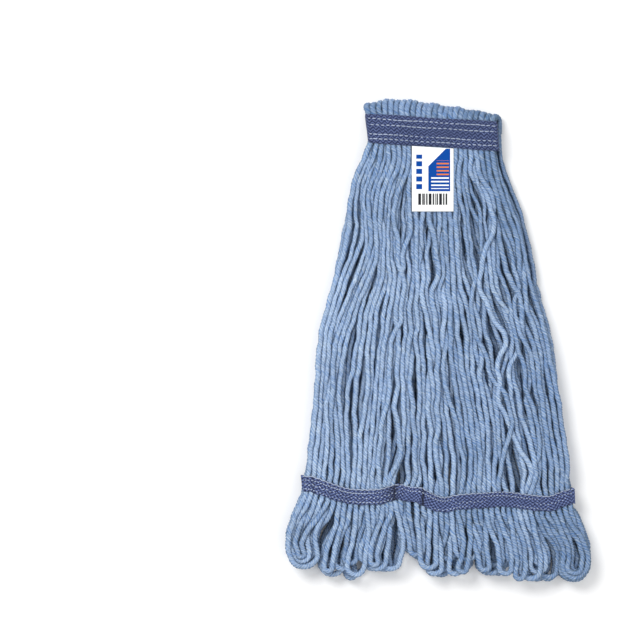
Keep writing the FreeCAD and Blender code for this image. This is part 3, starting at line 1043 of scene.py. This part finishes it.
def yarn_material():
    """Blended cotton yarn: matt, with painted shade between plies and between strands, streaked, with a
    little sheen.
    """
    if "Blended yarn" in bpy.data.materials:
        return bpy.data.materials["Blended yarn"]
    yarn = bpy.context.scene.mop_yarn
    material, tree, shader = new_material("Blended yarn", 0.92, 0.08, 0.6)
    shader.inputs["Sheen Tint"].default_value = (0.75, 0.85, 1.0, 1.0)
    plies = plied(tree, 2.6, 0.6)
    tone = Wire(add_node(tree, "ShaderNodeAttribute", attribute_name="tone"), "Fac")
    # Painted shade between plies: the ridge mask, with the fibre streaks, moves the colour towards the
    # groove shade colour.
    lit = Wire(plies, "Ridge") * 0.24 + (Wire(plies, "Streak") - 0.5) * 2.2 + 0.3 + tone * 0.14
    colour = mixed(tree, clamped(tree, lit), yarn.streak_and_groove_shade_colour, yarn.colour)
    # Painted shade between strands: the tone attribute scales the colour, and low tone mixes in the crevice
    # shade colour.
    toned = scaled(tree, colour, tone * 0.15 + 0.91)
    shaded = mixed(tree, tone * -0.2 - 0.14, toned, yarn.crevice_shade_colour)
    flecks = flecked(tree, shaded, 640.0, 0.62, 0.14)
    plug(Wire(flecks, "Colour"), shader.inputs["Base Color"])
    add_bump(tree, shader, Wire(plies, "Height") + Wire(flecks, "Fleck") * 0.4, 0.0005, 0.9)
    return material


CREASE_SHADES = (
    # x in metres, half width in metres, darkness of the painted shade in the tail bands' creases
    (-0.0162, 0.0014, 0.85),
    (-0.047, 0.006, 0.45),
    (-0.0445, 0.0012, 0.4),
    (-0.1255, 0.0012, 0.4),
)


def build_crease_shade(tree):
    """Painted crease shade: how light a tail band is along x: 1 - sum of d exp(-((x - c) / w)^2)."""
    x, _ = parted(tree, object_place(tree))
    light = 1.0
    for centre, wide, dark in CREASE_SHADES:
        away = (x - centre) / wide
        light = light - (away * away * -1.0).maths("EXPONENT") * dark
    return {"Light": light}


def webbing_material(name, slant, lift, ribs=0.85, dots=0.0, gain=1.0, crease_shaded=False):
    """Woven narrow webbing for a band, from the twill group with its own slant, dots and lightness."""
    if name in bpy.data.materials:
        return bpy.data.materials[name]
    web = bpy.context.scene.mop_webbing
    material, tree, shader = new_material(name, 0.82, 0.15, 0.5)
    inputs = {
        "Base": (0.1, 0.1, 0.2, 1),
        "Light": (0.2, 0.2, 0.3, 1),
        "Pitch": 0.19,
        "Slant": 1.0,
        "Lift": 0.0,
        "Ribs": 0.85,
        "Dots": 0.0,
    }
    twill = add_node(
        tree,
        "ShaderNodeGroup",
        node_tree=shader_group("Twill webbing", inputs, build_twill),
        Base=web.colour,
        Light=tuple(gain * part for part in web.light),
        Pitch=web.rib / MM * UV_PER_MM,
        Slant=slant,
        Lift=lift,
        Ribs=ribs,
        Dots=dots,
    )
    colour = Wire(flecked(tree, Wire(twill, "Colour"), 1100.0, 0.3, 0.25), "Colour")
    # Painted shade along the creases of the tail bands.
    if crease_shaded:
        creases = add_node(
            tree, "ShaderNodeGroup", node_tree=shader_group("Band crease shade", {}, build_crease_shade)
        )
        colour = scaled(tree, colour, Wire(creases, "Light"))
    plug(colour, shader.inputs["Base Color"])
    add_bump(tree, shader, Wire(twill, "Height"), 0.00045, 0.9)
    return material


def thread_material():
    """Sewing thread: pale, slightly glossy, twisted, with uneven brightness."""
    if "Sewing thread" in bpy.data.materials:
        return bpy.data.materials["Sewing thread"]
    web = bpy.context.scene.mop_webbing
    material, tree, shader = new_material("Sewing thread", 0.6)
    plies = plied(tree, 2.0, 0.3)
    dark = tuple(0.6 * part for part in web.thread_colour)
    colour = mixed(tree, Wire(plies, "Streak"), dark, web.thread_colour)
    plug(Wire(flecked(tree, colour, 700.0, 0.4, 0.5), "Colour"), shader.inputs["Base Color"])
    add_bump(tree, shader, Wire(plies, "Height"), 0.0001, 0.7)
    return material


PRINTED_AREAS = {
    # left, bottom, right and top in metres, with x from the card's middle and y from its lower edge
    "panel": (-0.0044, 0.02, 0.0175, 0.0626),
    "bars": (-0.0155, 0.0065, 0.0145, 0.0178),
    "blocks": (-0.0165, 0.0213, -0.0105, 0.0567),
    "warm lines": (0.004, 0.036, 0.0162, 0.0508),
    "white lines": (-0.0015, 0.0224, 0.0162, 0.0345),
}


def area_mask(x, y, area):
    """1 inside one of the card's printed areas and 0 outside, as the product of four compares."""
    left, bottom, right, top = PRINTED_AREAS[area]
    return (x > left) * (x < right) * (y > bottom) * (y < top)


def label_material():
    """Printed card: white stock, one plain panel with plain lines, blocks and bars; no lettering.

    The panel's corner is cut off where y - x passes a limit. A row of lines, blocks or bars is the
    part of an area where a sine of x or y, or the sum of two, is over a level.
    """
    style = bpy.context.scene.mop_label
    material, tree, shader = new_material("Printed card", 0.6)
    shader.inputs["Specular IOR Level"].default_value = 0.08
    low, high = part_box("label")
    centred = add_node(
        tree, "ShaderNodeMapping", vector_type="TEXTURE", Vector=object_place(tree)
    )
    centred.inputs["Location"].default_value = ((low.x + high.x) / 2, low.y, 0)
    x, y = parted(tree, Wire(centred))
    panel = area_mask(x, y, "panel") * (y - x < 0.0495)
    bars = (x.wave(0.0021) + x.wave(0.0034) > -0.35) * area_mask(x, y, "bars")
    blocks = (y.wave(0.0076) > -0.55) * area_mask(x, y, "blocks")
    lines = y.wave(0.0036) > 0.35
    warm = lines * area_mask(x, y, "warm lines")
    white = lines * area_mask(x, y, "white lines")
    paper = flecked(tree, style.card, 420.0, 0.04, 0.05)
    colour = Wire(paper, "Colour")
    for mask, ink in (
        (panel, style.panel),
        (blocks, style.panel),
        (warm, style.accent),
        (white, style.card),
        (bars, style.ink),
    ):
        colour = mixed(tree, mask, colour, ink)
    plug(colour, shader.inputs["Base Color"])
    plug(0.62 - panel * 0.1, shader.inputs["Roughness"])
    add_bump(tree, shader, Wire(paper, "Fleck"), 0.00003, 0.4)
    return material


def floor_material():
    """Plain pale floor with a barely seen unevenness."""
    stage = bpy.context.scene.mop_stage
    material, tree, shader = new_material("Pale floor", 0.7)
    soft = flecked(tree, stage.floor_colour, 30.0, 0.01, 0.01)
    plug(Wire(soft, "Colour"), shader.inputs["Base Color"])
    return material


# ---------------------------------------------------------------- operators


# Metres, apart from the floor's level, which is in millimetres like every mesh.
CAMERA_PLACE = (-0.129, 0.0315)
YARN_TOP = 0.02
FLOOR_WIDTH = 6.0
FLOOR_LEVEL = -0.02
LAMPS = (
    # name, place in metres, width, share of the key light's power
    ("key light", (-0.9, 0.9, 1.9), 1.1, 1.0),
    ("soft light", (0.8, -0.5, 2.2), 2.0, 0.3),
)


class MOP_OT_stage(bpy.types.Operator):
    """Make the floor, the lights and the camera straight above the mop head"""

    bl_idname = "mop.stage"
    bl_label = "Stage"

    def execute(self, context):
        stage = context.scene.mop_stage
        corners = np.array([[-1, -1, 0], [1, -1, 0], [1, 1, 0], [-1, 1, 0]]) * FLOOR_WIDTH / 2 / MM
        corners[:, 2] = FLOOR_LEVEL
        floor = new_object("floor", corners, np.array([[0, 1, 2, 3]]))
        floor.data.materials.append(floor_material())

        camera = bpy.data.objects.new("camera", bpy.data.cameras.new("camera"))
        context.scene.collection.objects.link(camera)
        camera.location = (*CAMERA_PLACE, stage.camera_height)
        camera.data.sensor_width = 36.0
        camera.data.lens = camera.data.sensor_width * (stage.camera_height - YARN_TOP) / stage.frame_width
        camera.data.clip_end = 20.0
        context.scene.camera = camera

        for name, place, width, share in LAMPS:
            lamp = bpy.data.lights.new(name, "AREA")
            lamp.energy = stage.key_power * share
            lamp.size = width
            lamp.shape = "DISK"
            light = bpy.data.objects.new(name, lamp)
            context.scene.collection.objects.link(light)
            light.location = place
            light.rotation_euler = (-Vector(place)).to_track_quat("-Z", "Y").to_euler()

        world = bpy.data.worlds.new("studio")
        context.scene.world = world
        world.use_nodes = True
        background = world.node_tree.nodes["Background"]
        background.inputs["Color"].default_value = (1.0, 1.0, 1.0, 1.0)
        background.inputs["Strength"].default_value = stage.fill
        context.scene.view_settings.view_transform = "Standard"
        return {"FINISHED"}


def to_space(path, side):
    """From (x, y, h above the parting plane) to (x, y, z): z = parting + h in front, - h behind."""
    placed = path.copy()
    placed[:, 2] = PARTING + path[:, 2] * OUTWARD[side]
    return placed


# Mesh rings by which a strand's fold part reaches down past the fold line, so that the rear half's
# own part stays clear of the headband when the halves are opened.
HANDOVER = 2
KINKS = ((31.0, 0.3), (17.0, 0.22), (9.0, 0.1))


def kinked(path, run, turn):
    """The path with small kinks: sums of sines along its length, half as large up and down."""
    for wave, (long, size) in enumerate(KINKS):
        path[:, 0] += size * np.sin(run * 2 * np.pi / long + turn[0, wave])
        path[:, 2] += size * 0.5 * np.sin(run * 2 * np.pi / long + turn[1, wave])
    return path


def strand_meshes(side):
    """Arrays of every tube of a half: those of the half itself and those over the fold, by hank."""
    yarn = bpy.context.scene.mop_yarn
    laid, bodies, is_primary = lay_half(side)
    front_bodies = lay_half("front")[1]
    rng = np.random.default_rng(SEEDS[f"{side} kinks"])
    spacing = yarn.spacing / MM
    paths, radii, cuts, pressed = [], [], [], []
    for hank, a, b, points, sizes, flats in laid:
        placed = to_space(points, side)
        added = [0, 0]
        for end, strand in enumerate((a, b)):
            if side == "front" or strand >= FACE or not is_primary[strand]:
                continue
            over = to_space(fold_ends(strand, bodies, front_bodies), "front")
            thick = np.full(len(over), sizes[-end] + 0.25)
            full = np.ones(len(over))
            if end == 0:
                placed = np.vstack([over[::-1], placed])
                sizes = np.concatenate([thick, sizes])
                flats = np.concatenate([full, flats])
            else:
                placed = np.vstack([placed, over])
                sizes = np.concatenate([sizes, thick])
                flats = np.concatenate([flats, full])
            added[end] = len(over)
        head, foot = added
        path, at = even_path(placed, spacing)
        run = np.arange(len(path)) * spacing
        turn = rng.uniform(0, 2 * np.pi, (2, len(KINKS)))
        path = kinked(path, run, turn)
        swell = 1 + 0.035 * np.sin(run / 7.3 + turn[0, 0]) + 0.025 * np.sin(run / 2.9 + turn[1, 0])
        radius = swell * np.interp(at, np.arange(len(sizes)), sizes)
        path[:, 2] = np.maximum(path[:, 2], radius + 0.1)
        first = np.searchsorted(at, head) + HANDOVER if head else 0
        last = np.searchsorted(at, len(placed) - 1 - foot) - HANDOVER if foot else len(path) - 1
        paths.append(path)
        radii.append(radius)
        pressed.append(np.interp(at, np.arange(len(flats)), flats))
        cuts.append((hank, first, last, a, b))
    phases = rng.uniform(0, 2 * np.pi, len(paths))
    rings = plied_rings(paths, radii, phases, yarn)
    tones = rng.normal(0.5, 0.3, len(paths))
    body, fold = {}, {}
    for path, flats, (corners, travelled), cut, tone in zip(paths, pressed, rings, cuts, tones):
        hank, first, last, a, b = cut
        level = path[:, None, 2]
        corners[..., 2] = level + (corners[..., 2] - level) * flats[:, None]
        tone = tone_with_painted_shade(path, corners, tone)
        parts = [(body, hank, slice(first, last + 1))]
        if first > 0:
            parts.append((fold, a // FACE_PER_HANK, slice(0, first + 1)))
        if last < len(corners) - 1:
            parts.append((fold, b // FACE_PER_HANK, slice(last, len(corners))))
        for target, key, part in parts:
            target.setdefault(key, []).append(tube_arrays(corners[part], travelled[part], tone[part]))
    return body, fold


class MOP_OT_yarn(bpy.types.Operator):
    """Lay the strands of both halves, with their loops, one piece for each hank"""

    bl_idname = "mop.yarn"
    bl_label = "Yarn"

    def execute(self, context):
        for side in HALVES:
            body, fold = strand_meshes(side)
            LAID[side + "_fold"] = fold
            for hank in range(HANKS):
                node_name = f"{side}_hank_{hank + 1}"
                made = new_object(f"{side}_yarn_{hank + 1}", *joined(body[hank]))
                made.data.materials.append(yarn_material())
                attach(made, f"{side}_half")
                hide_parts(node_name)
        return {"FINISHED"}


INNER_STRANDS = 22
INNER_SPAN = (-66.5, 54.5)
INNER_SLIDE = 6.0
INNER_RADIUS = 4.3
INNER_STRAND_RADIUS = 2.85
REAR_LEG = np.array([[0.0, 12.0, 0.0], [0.0, 6.0, 0.0]])
FRONT_LEG = np.array([[0.0, 2.0, 0.0], [0.0, 4.0, 0.0]])


def inner_fold_tubes(yarn):
    """Strands of the fold's inner layer: half circles about the fold line, with straight legs.

    With t from 0 at the rear to pi at the front, x = place + slide (1 + cos t) / 2.
    """
    rng = np.random.default_rng(SEEDS["inner fold"])
    spacing = yarn.spacing / MM
    places = np.linspace(*INNER_SPAN, INNER_STRANDS) + rng.uniform(-0.8, 0.8, INNER_STRANDS)
    turn = np.linspace(0, np.pi, 7)
    paths, radii = [], []
    for x in places:
        slide = x + INNER_SLIDE * (1 + np.cos(turn)) / 2
        fold = FOLD_TOP - FOLD_SLOPE * (slide - HEAD_X)
        arc = [slide, fold + (INNER_RADIUS + 0.3) * np.sin(turn), PARTING - INNER_RADIUS * np.cos(turn)]
        arc = np.stack(arc, axis=1)
        path, _ = even_path(np.vstack([arc[0] - REAR_LEG, arc, arc[-1] - FRONT_LEG]), spacing)
        paths.append(path)
        radii.append(np.full(len(path), INNER_STRAND_RADIUS))
    rings = plied_rings(paths, radii, rng.uniform(0, 6, len(paths)), yarn)
    made = {}
    for number, (corners, travelled) in enumerate(rings):
        tone = tone_with_painted_shade(paths[number], corners, rng.normal(0.4, 0.3))
        made.setdefault(number * HANKS // len(rings), []).append(tube_arrays(corners, travelled, tone))
    return made


class MOP_OT_fold(bpy.types.Operator):
    """Carry the yarn over the fold, one piece for each hank"""

    bl_idname = "mop.fold"
    bl_label = "Fold"

    def execute(self, context):
        yarn = context.scene.mop_yarn
        outer = LAID["rear_fold"]
        inner = inner_fold_tubes(yarn)
        for hank in range(HANKS):
            made = new_object(f"fold_yarn_{hank + 1}", *joined(outer[hank] + inner[hank]))
            made.data.materials.append(yarn_material())
            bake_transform(made)
            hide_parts(f"fold_hank_{hank + 1}")
        return {"FINISHED"}


def face_outwards(made):
    """Turn every face round if the mesh's signed volume comes out negative."""
    mesh = made.data
    mesh.calc_loop_triangles()
    points = np.zeros(len(mesh.vertices) * 3)
    mesh.vertices.foreach_get("co", points)
    points = points.reshape(-1, 3)
    corners = np.zeros(len(mesh.loop_triangles) * 3, int)
    mesh.loop_triangles.foreach_get("vertices", corners)
    a, b, c = (points[corners.reshape(-1, 3)[:, place]] for place in range(3))
    if (a * np.cross(b, c)).sum() < 0:
        mesh.flip_normals()


def strip_object(name, corners, across, travelled, closed_path):
    """Mesh object of a strip's rings: u is the distance along it, v across it, in centimetres."""
    count, columns = corners.shape[:2]
    rings = count if closed_path else count - 1
    u = np.append(travelled, travelled[-1] + (travelled[1] - travelled[0])) * UV_PER_MM
    u0 = np.repeat(u[:rings], columns).reshape(rings, columns)
    u1 = np.repeat(u[1 : rings + 1], columns).reshape(rings, columns)
    v0 = across[:rings] * UV_PER_MM
    v1 = np.roll(across, -1, axis=1)[:rings] * UV_PER_MM
    uv = corner_uvs((u0, v0), (u0, v1), (u1, v1), (u1, v0))
    vertices = corners.reshape(-1, 3)
    if not closed_path:
        vertices = with_centres(corners)
        uv = np.concatenate([uv, np.zeros((2 * columns, 4, 2))])
    made = new_object(name, vertices, ring_faces(count, columns, closed_path), uv)
    face_outwards(made)
    return made


def webbing_profile(height, thickness, samples):
    """Closed section of a webbing: flat faces, rounded selvedges slightly thicker than the middle.

    The edge's rounding is a quarter circle over the last half millimetre.
    """
    v = np.linspace(-1, 1, samples)
    edge = 1.0 + 0.18 * np.exp(-(((1 - np.abs(v)) * height / 2 / 1.2) ** 2))
    past = np.clip((np.abs(v) * height / 2 - (height / 2 - 0.5)) / 0.5, 0, 1)
    outer = thickness / 2 * edge * np.sqrt(np.clip(1 - past**2, 0.02, 1))
    across = np.concatenate([v * height / 2, v[::-1] * height / 2])
    return across, np.concatenate([outer, -outer[::-1]])


def rounded_rectangle(width, depth, radius, spacing):
    """Points, outward directions and distances round a rounded rectangle, evenly spaced.

    The corners' quarter circles come one after another, anticlockwise, with straight sides between.
    """
    corner = np.array([width, depth]) / 2 - radius
    points, outs = [], []
    for number, signs in enumerate(((1, 1), (-1, 1), (-1, -1), (1, -1))):
        angle = np.linspace(0, np.pi / 2, 7) + number * np.pi / 2
        out = np.stack([np.cos(angle), np.sin(angle)], axis=1)
        points.append(corner * signs + radius * out)
        outs.append(out)
    points, outs = (np.vstack([*rows, rows[0][:1]]) for rows in (points, outs))
    run = distances(points)
    at = np.linspace(0, run[-1], int(run[-1] / spacing), endpoint=False)
    ring, out = (np.stack([np.interp(at, run, line) for line in rows.T], axis=1) for rows in (points, outs))
    return ring, out / np.linalg.norm(out, axis=1, keepdims=True), at


def belt_frame():
    """Middle of the headband, and its unit vectors along, across and up, from the CAD headband."""
    low, high = (np.array(corner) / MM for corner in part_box("headband"))
    middle = (low + high) / 2
    along = np.array([math.cos(BELT_TURN), math.sin(BELT_TURN), 0.0])
    across = np.array([-math.sin(BELT_TURN), math.cos(BELT_TURN), 0.0])
    return middle, along, across, np.array([0.0, 0.0, 1.0])


BELT_WIDTH = 132.0
BELT_HEIGHT = 29.0
BELT_DEPTH = 13.2
BELT_LEAN = 0.13
BELT_CORNER = 2.0
BELT_RING_SPACING = 0.9


def belt_waviness(run, v):
    """How far the headband stands out: strands below it press small ripples into it."""
    return 0.16 * np.sin(run * 2 * np.pi / 6.1) + 0.12 * np.sin(run / 9.0 + v / 6.0)


class MOP_OT_headband(bpy.types.Operator):
    """Make the woven headband, a closed loop of webbing round the front half, leaning a little"""

    bl_idname = "mop.headband"
    bl_label = "Headband"

    def execute(self, context):
        web = context.scene.mop_webbing
        thick = web.thickness / MM
        middle, along, across, up = belt_frame()
        size = (BELT_WIDTH - thick, BELT_DEPTH - thick)
        ring, out, run = rounded_rectangle(*size, BELT_CORNER, BELT_RING_SPACING)
        v, w = webbing_profile(BELT_HEIGHT, thick, 15)
        lower_left = np.clip(-ring[:, 0] / 64, 0, 1)[:, None] ** 6 * v[None]
        spot = ring[:, None, 0] - BELT_LEAN * v[None] - 0.05 * lower_left
        lift = w[None] + belt_waviness(run[:, None], v[None]) * np.abs(out[:, 1])[:, None]
        edge_wave = 0.35 * np.sin(run / 13.0)[:, None] * np.sign(v)[None]
        corners = (
            middle
            + (spot + lift * out[:, None, 0])[..., None] * along
            + (v[None] + edge_wave)[..., None] * across
            + (ring[:, None, 1] + lift * out[:, None, 1])[..., None] * up
        )
        wide = np.broadcast_to(v, (len(ring), len(v)))
        made = strip_object("headband_webbing", corners, wide, run, True)
        made.data.materials.append(webbing_material("Headband webbing", 1.0, -0.02))
        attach(made, "front_half")
        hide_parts("headband")
        return {"FINISHED"}


THREAD_SIDES = 6


def thread_tube(points, radius):
    """A sewing thread as a six-sided tube through the points."""
    _, normal, side = transported_frames([points])
    angle = 2 * np.pi * np.arange(THREAD_SIDES) / THREAD_SIDES
    return tube_arrays(points[:, None] + radius * spokes(angle, normal[0], side[0]), distances(points), 0.5)


def slow_wave(run, size, length, rng):
    """A sine along the run with a random start."""
    return size * np.sin(run / length + rng.uniform(0, 6))


def stitched_line(start, finish, out, pitch, rise, rng, sink=0.0):
    """Points of a running stitch from start to finish, which comes out of the webbing once a pitch.

    Offset = rise (cos(2 pi s / pitch) + 0.1 + a slow wave), flattened on top and deeper below.
    Near the middle the thread sinks: less rise sink exp(-((share - 0.47) / 0.1)^2).
    """
    length = np.linalg.norm(finish - start)
    run = np.linspace(0, length, int(length / 0.45))
    share = run / length
    wave = np.cos(run * 2 * np.pi / pitch + rng.uniform(0, 6)) + 0.1 + slow_wave(run, 0.35, 11.0, rng)
    lift = np.where(wave > 0, rise * np.minimum(wave, 0.55), 1.3 * wave)
    lift = lift - rise * (sink * np.exp(-(((share - 0.47) / 0.1) ** 2)))
    stray = slow_wave(run, 0.22, 8.0, rng) + slow_wave(run, 0.1, 2.3, rng)
    side = np.cross(out, (finish - start) / length)
    return start + (finish - start) * share[:, None] + lift[:, None] * out + stray[:, None] * side


STITCH_INSET = 2.5
STITCH_RISE = 0.42
STITCH_ROWS = (
    # place across the headband, and how deep the middle of the row sinks on the front face
    (9.9, 0.0),
    (4.1, 0.0),
    (-5.2, 1.2),
    (-9.9, 1.2),
)


class MOP_OT_stitch_rows(bpy.types.Operator):
    """Sew four rows of running stitch through the headband, on both of its faces"""

    bl_idname = "mop.stitch_rows"
    bl_label = "Headband stitching"

    def execute(self, context):
        web = context.scene.mop_webbing
        rng = np.random.default_rng(SEEDS["stitch rows"])
        middle, along, across, up = belt_frame()
        for number, (place, sink) in enumerate(STITCH_ROWS, start=1):
            tubes = []
            for face in (1, -1):
                level = up * face * (BELT_DEPTH / 2 + 0.02)
                row = middle + across * place - along * BELT_LEAN * place + level
                left = row + along * (-BELT_WIDTH / 2 + STITCH_INSET)
                right = row + along * (BELT_WIDTH / 2 - STITCH_INSET)
                sunk = sink if face > 0 else 0.0
                points = stitched_line(left, right, up * face, web.stitch / MM, STITCH_RISE, rng, sunk)
                tubes.append(thread_tube(points, web.thread / MM / 2))
            made = new_object(f"headband_stitching_{number}", *joined(tubes))
            made.data.materials.append(thread_material())
            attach(made, "front_half")
            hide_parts(f"headband_stitch_row_{number}")
        return {"FINISHED"}


TAIL_BAND_HEIGHT = 15.2
PLEATS = (
    # x, rise, half width: two pleats and a nick across the outer strips
    (-44.0, 0.7, 2.2),
    (-19.0, 0.6, 3.0),
    (-15.6, -1.0, 1.2),
)
PLEAT_SHARES = {"front": 1.0, "rear": 0.3}


def tail_surface(side, layer, x, v):
    """Height z of a tail band's outer or inner strip: the CAD strip's middle, rippled and pleated.

    The ripples are sines of x, one to a strand with a slower one under it.
    """
    low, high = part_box(f"{side}_tail_band_{layer}")
    level = (low.z + high.z) / 2 / MM
    out = OUTWARD[side]
    ripple = 0.3 * np.sin(x * 2 * np.pi / 6.6 + 0.4 * np.sin(x / 31.0)) + 0.35 * np.sin(x / 17.0 + v / 9.0)
    if layer == "inner":
        return level + 0.15 * out * ripple
    return level + out * (0.55 * ripple + with_bumps(0.0, x, PLEATS) * PLEAT_SHARES[side])


class MOP_OT_tail_bands(bpy.types.Operator):
    """Make the four tail band strips that hold the yarn above the loops"""

    bl_idname = "mop.tail_bands"
    bl_label = "Tail bands"

    def execute(self, context):
        web = context.scene.mop_webbing
        thick = web.thickness / MM
        x = np.linspace(TAIL_LEFT, TAIL_RIGHT, 300)
        y = band_middle(x)
        slope = np.gradient(y, x)
        across = np.stack([-slope, np.ones_like(x), np.zeros_like(x)], axis=1)
        across /= np.linalg.norm(across, axis=1, keepdims=True)
        run = distances(np.stack([x, y], axis=1))
        v, w = webbing_profile(TAIL_BAND_HEIGHT, thick, 11)
        ruffle = 0.35 * np.sin(x / 2.3 + 1.2 * np.sin(x / 7.0)) + 0.2 * np.sin(x / 1.1)
        frayed = v[None] + ruffle[:, None] * (np.abs(v)[None] * 2 / TAIL_BAND_HEIGHT) ** 8
        path = np.stack([x, y, np.zeros_like(x)], axis=1)
        webbing = webbing_material("Tail webbing", 0.9, 0.3, ribs=0.3, dots=0.5, gain=1.3, crease_shaded=True)
        for side in HALVES:
            for layer in ("outer", "inner"):
                z = tail_surface(side, layer, x[:, None], v[None]) + w[None]
                corners = path[:, None] + frayed[..., None] * across[:, None]
                corners[..., 2] = z
                wide = np.broadcast_to(v, z.shape)
                made = strip_object(f"{side}_tail_webbing_{layer}", corners, wide, run, False)
                made.data.materials.append(webbing)
                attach(made, f"{side}_half")
                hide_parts(f"{side}_tail_band_{layer}")
        return {"FINISHED"}


SEAMS = {
    # place across the band, zigzag, pitch, how much of a stitch shows, rise
    "upper": ((7.1, 0.4, 3.1, 0.95, 0.4), (3.6, 0.25, 2.9, -0.1, 0.4)),
    "lower": ((-0.8, 0.8, 3.7, -0.65, 0.4), (-5.4, 0.3, 3.3, -0.6, 0.36)),
}


class MOP_OT_tail_seams(bpy.types.Operator):
    """Sew the tail bands with zigzag threads that show as an edge thread and scattered flecks"""

    bl_idname = "mop.tail_seams"
    bl_label = "Tail band stitching"

    def execute(self, context):
        web = context.scene.mop_webbing
        rng = np.random.default_rng(SEEDS["tail seams"])
        x = np.linspace(TAIL_LEFT + 1.5, TAIL_RIGHT - 1.5, 900)
        y = band_middle(x)
        slope = np.gradient(y, x)
        tilt = 1 / np.sqrt(1 + slope**2)
        run = distances(np.stack([x, y], axis=1))
        for side in HALVES:
            for row, threads in SEAMS.items():
                tubes = []
                for place, zig, pitch, hold, rise in threads:
                    v = place + zig * np.arcsin(np.sin(run * 2 * np.pi / (2 * pitch))) * 2 / np.pi
                    v = v + slow_wave(run, 0.2, 9.0, rng)
                    shown = hold + slow_wave(run, 0.5, 13.0, rng) - 0.75 * ease((x + 80.0) / 40.0)
                    wave = np.cos(run * 2 * np.pi / pitch + rng.uniform(0, 6)) + shown
                    lift = np.where(wave > 0, rise * np.minimum(wave, 0.6), 1.1 * np.maximum(wave, -0.9))
                    lift = lift + (web.thickness / MM) / 2 * 1.05
                    z = tail_surface(side, "outer", x, v) + OUTWARD[side] * lift
                    points = np.stack([x - v * slope * tilt, y + v * tilt, z], axis=1)
                    tubes.append(thread_tube(points, web.thread / MM / 2))
                made = new_object(f"{side}_tail_stitching_{row}", *joined(tubes))
                made.data.materials.append(thread_material())
                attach(made, f"{side}_half")
                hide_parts(f"{side}_tail_seam_{row}")
        return {"FINISHED"}


class MOP_OT_label(bpy.types.Operator):
    """Print the plain card label under the headband"""

    bl_idname = "mop.label"
    bl_label = "Label"

    def execute(self, context):
        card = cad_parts["label"]
        card.data.materials.clear()
        card.data.materials.append(label_material())
        return {"FINISHED"}


OPERATORS = (
    MOP_OT_stage,
    MOP_OT_yarn,
    MOP_OT_fold,
    MOP_OT_headband,
    MOP_OT_stitch_rows,
    MOP_OT_tail_bands,
    MOP_OT_tail_seams,
    MOP_OT_label,
)
SETTINGS = (
    ("mop_yarn", YarnSettings),
    ("mop_webbing", WebbingSettings),
    ("mop_label", LabelSettings),
    ("mop_stage", StageSettings),
)


class MOP_PT_panel(bpy.types.Panel):
    """Sizes, colours and steps of the string mop head"""

    bl_label = "String mop"
    bl_idname = "MOP_PT_panel"
    bl_space_type = "VIEW_3D"
    bl_region_type = "UI"
    bl_category = "String mop"

    def draw(self, context):
        for name, group in SETTINGS:
            box = self.layout.box()
            for key in group.__annotations__:
                box.prop(getattr(context.scene, name), key)
        for operator in OPERATORS:
            self.layout.operator(operator.bl_idname)


def register():
    """Register the settings, the operators and the panel."""
    for _, group in SETTINGS:
        bpy.utils.register_class(group)
    for name, group in SETTINGS:
        setattr(bpy.types.Scene, name, PointerProperty(type=group))
    for operator in OPERATORS:
        bpy.utils.register_class(operator)
    bpy.utils.register_class(MOP_PT_panel)


def unregister():
    """Take everything out again, in the other order."""
    bpy.utils.unregister_class(MOP_PT_panel)
    for operator in reversed(OPERATORS):
        bpy.utils.unregister_class(operator)
    for name, group in reversed(SETTINGS):
        delattr(bpy.types.Scene, name)
        bpy.utils.unregister_class(group)


def main():
    """Make the whole mop head, one operator after another."""
    register()
    for operator in OPERATORS:
        family, name = operator.bl_idname.split(".")
        getattr(getattr(bpy.ops, family), name)()


if __name__ == "__main__":
    main()
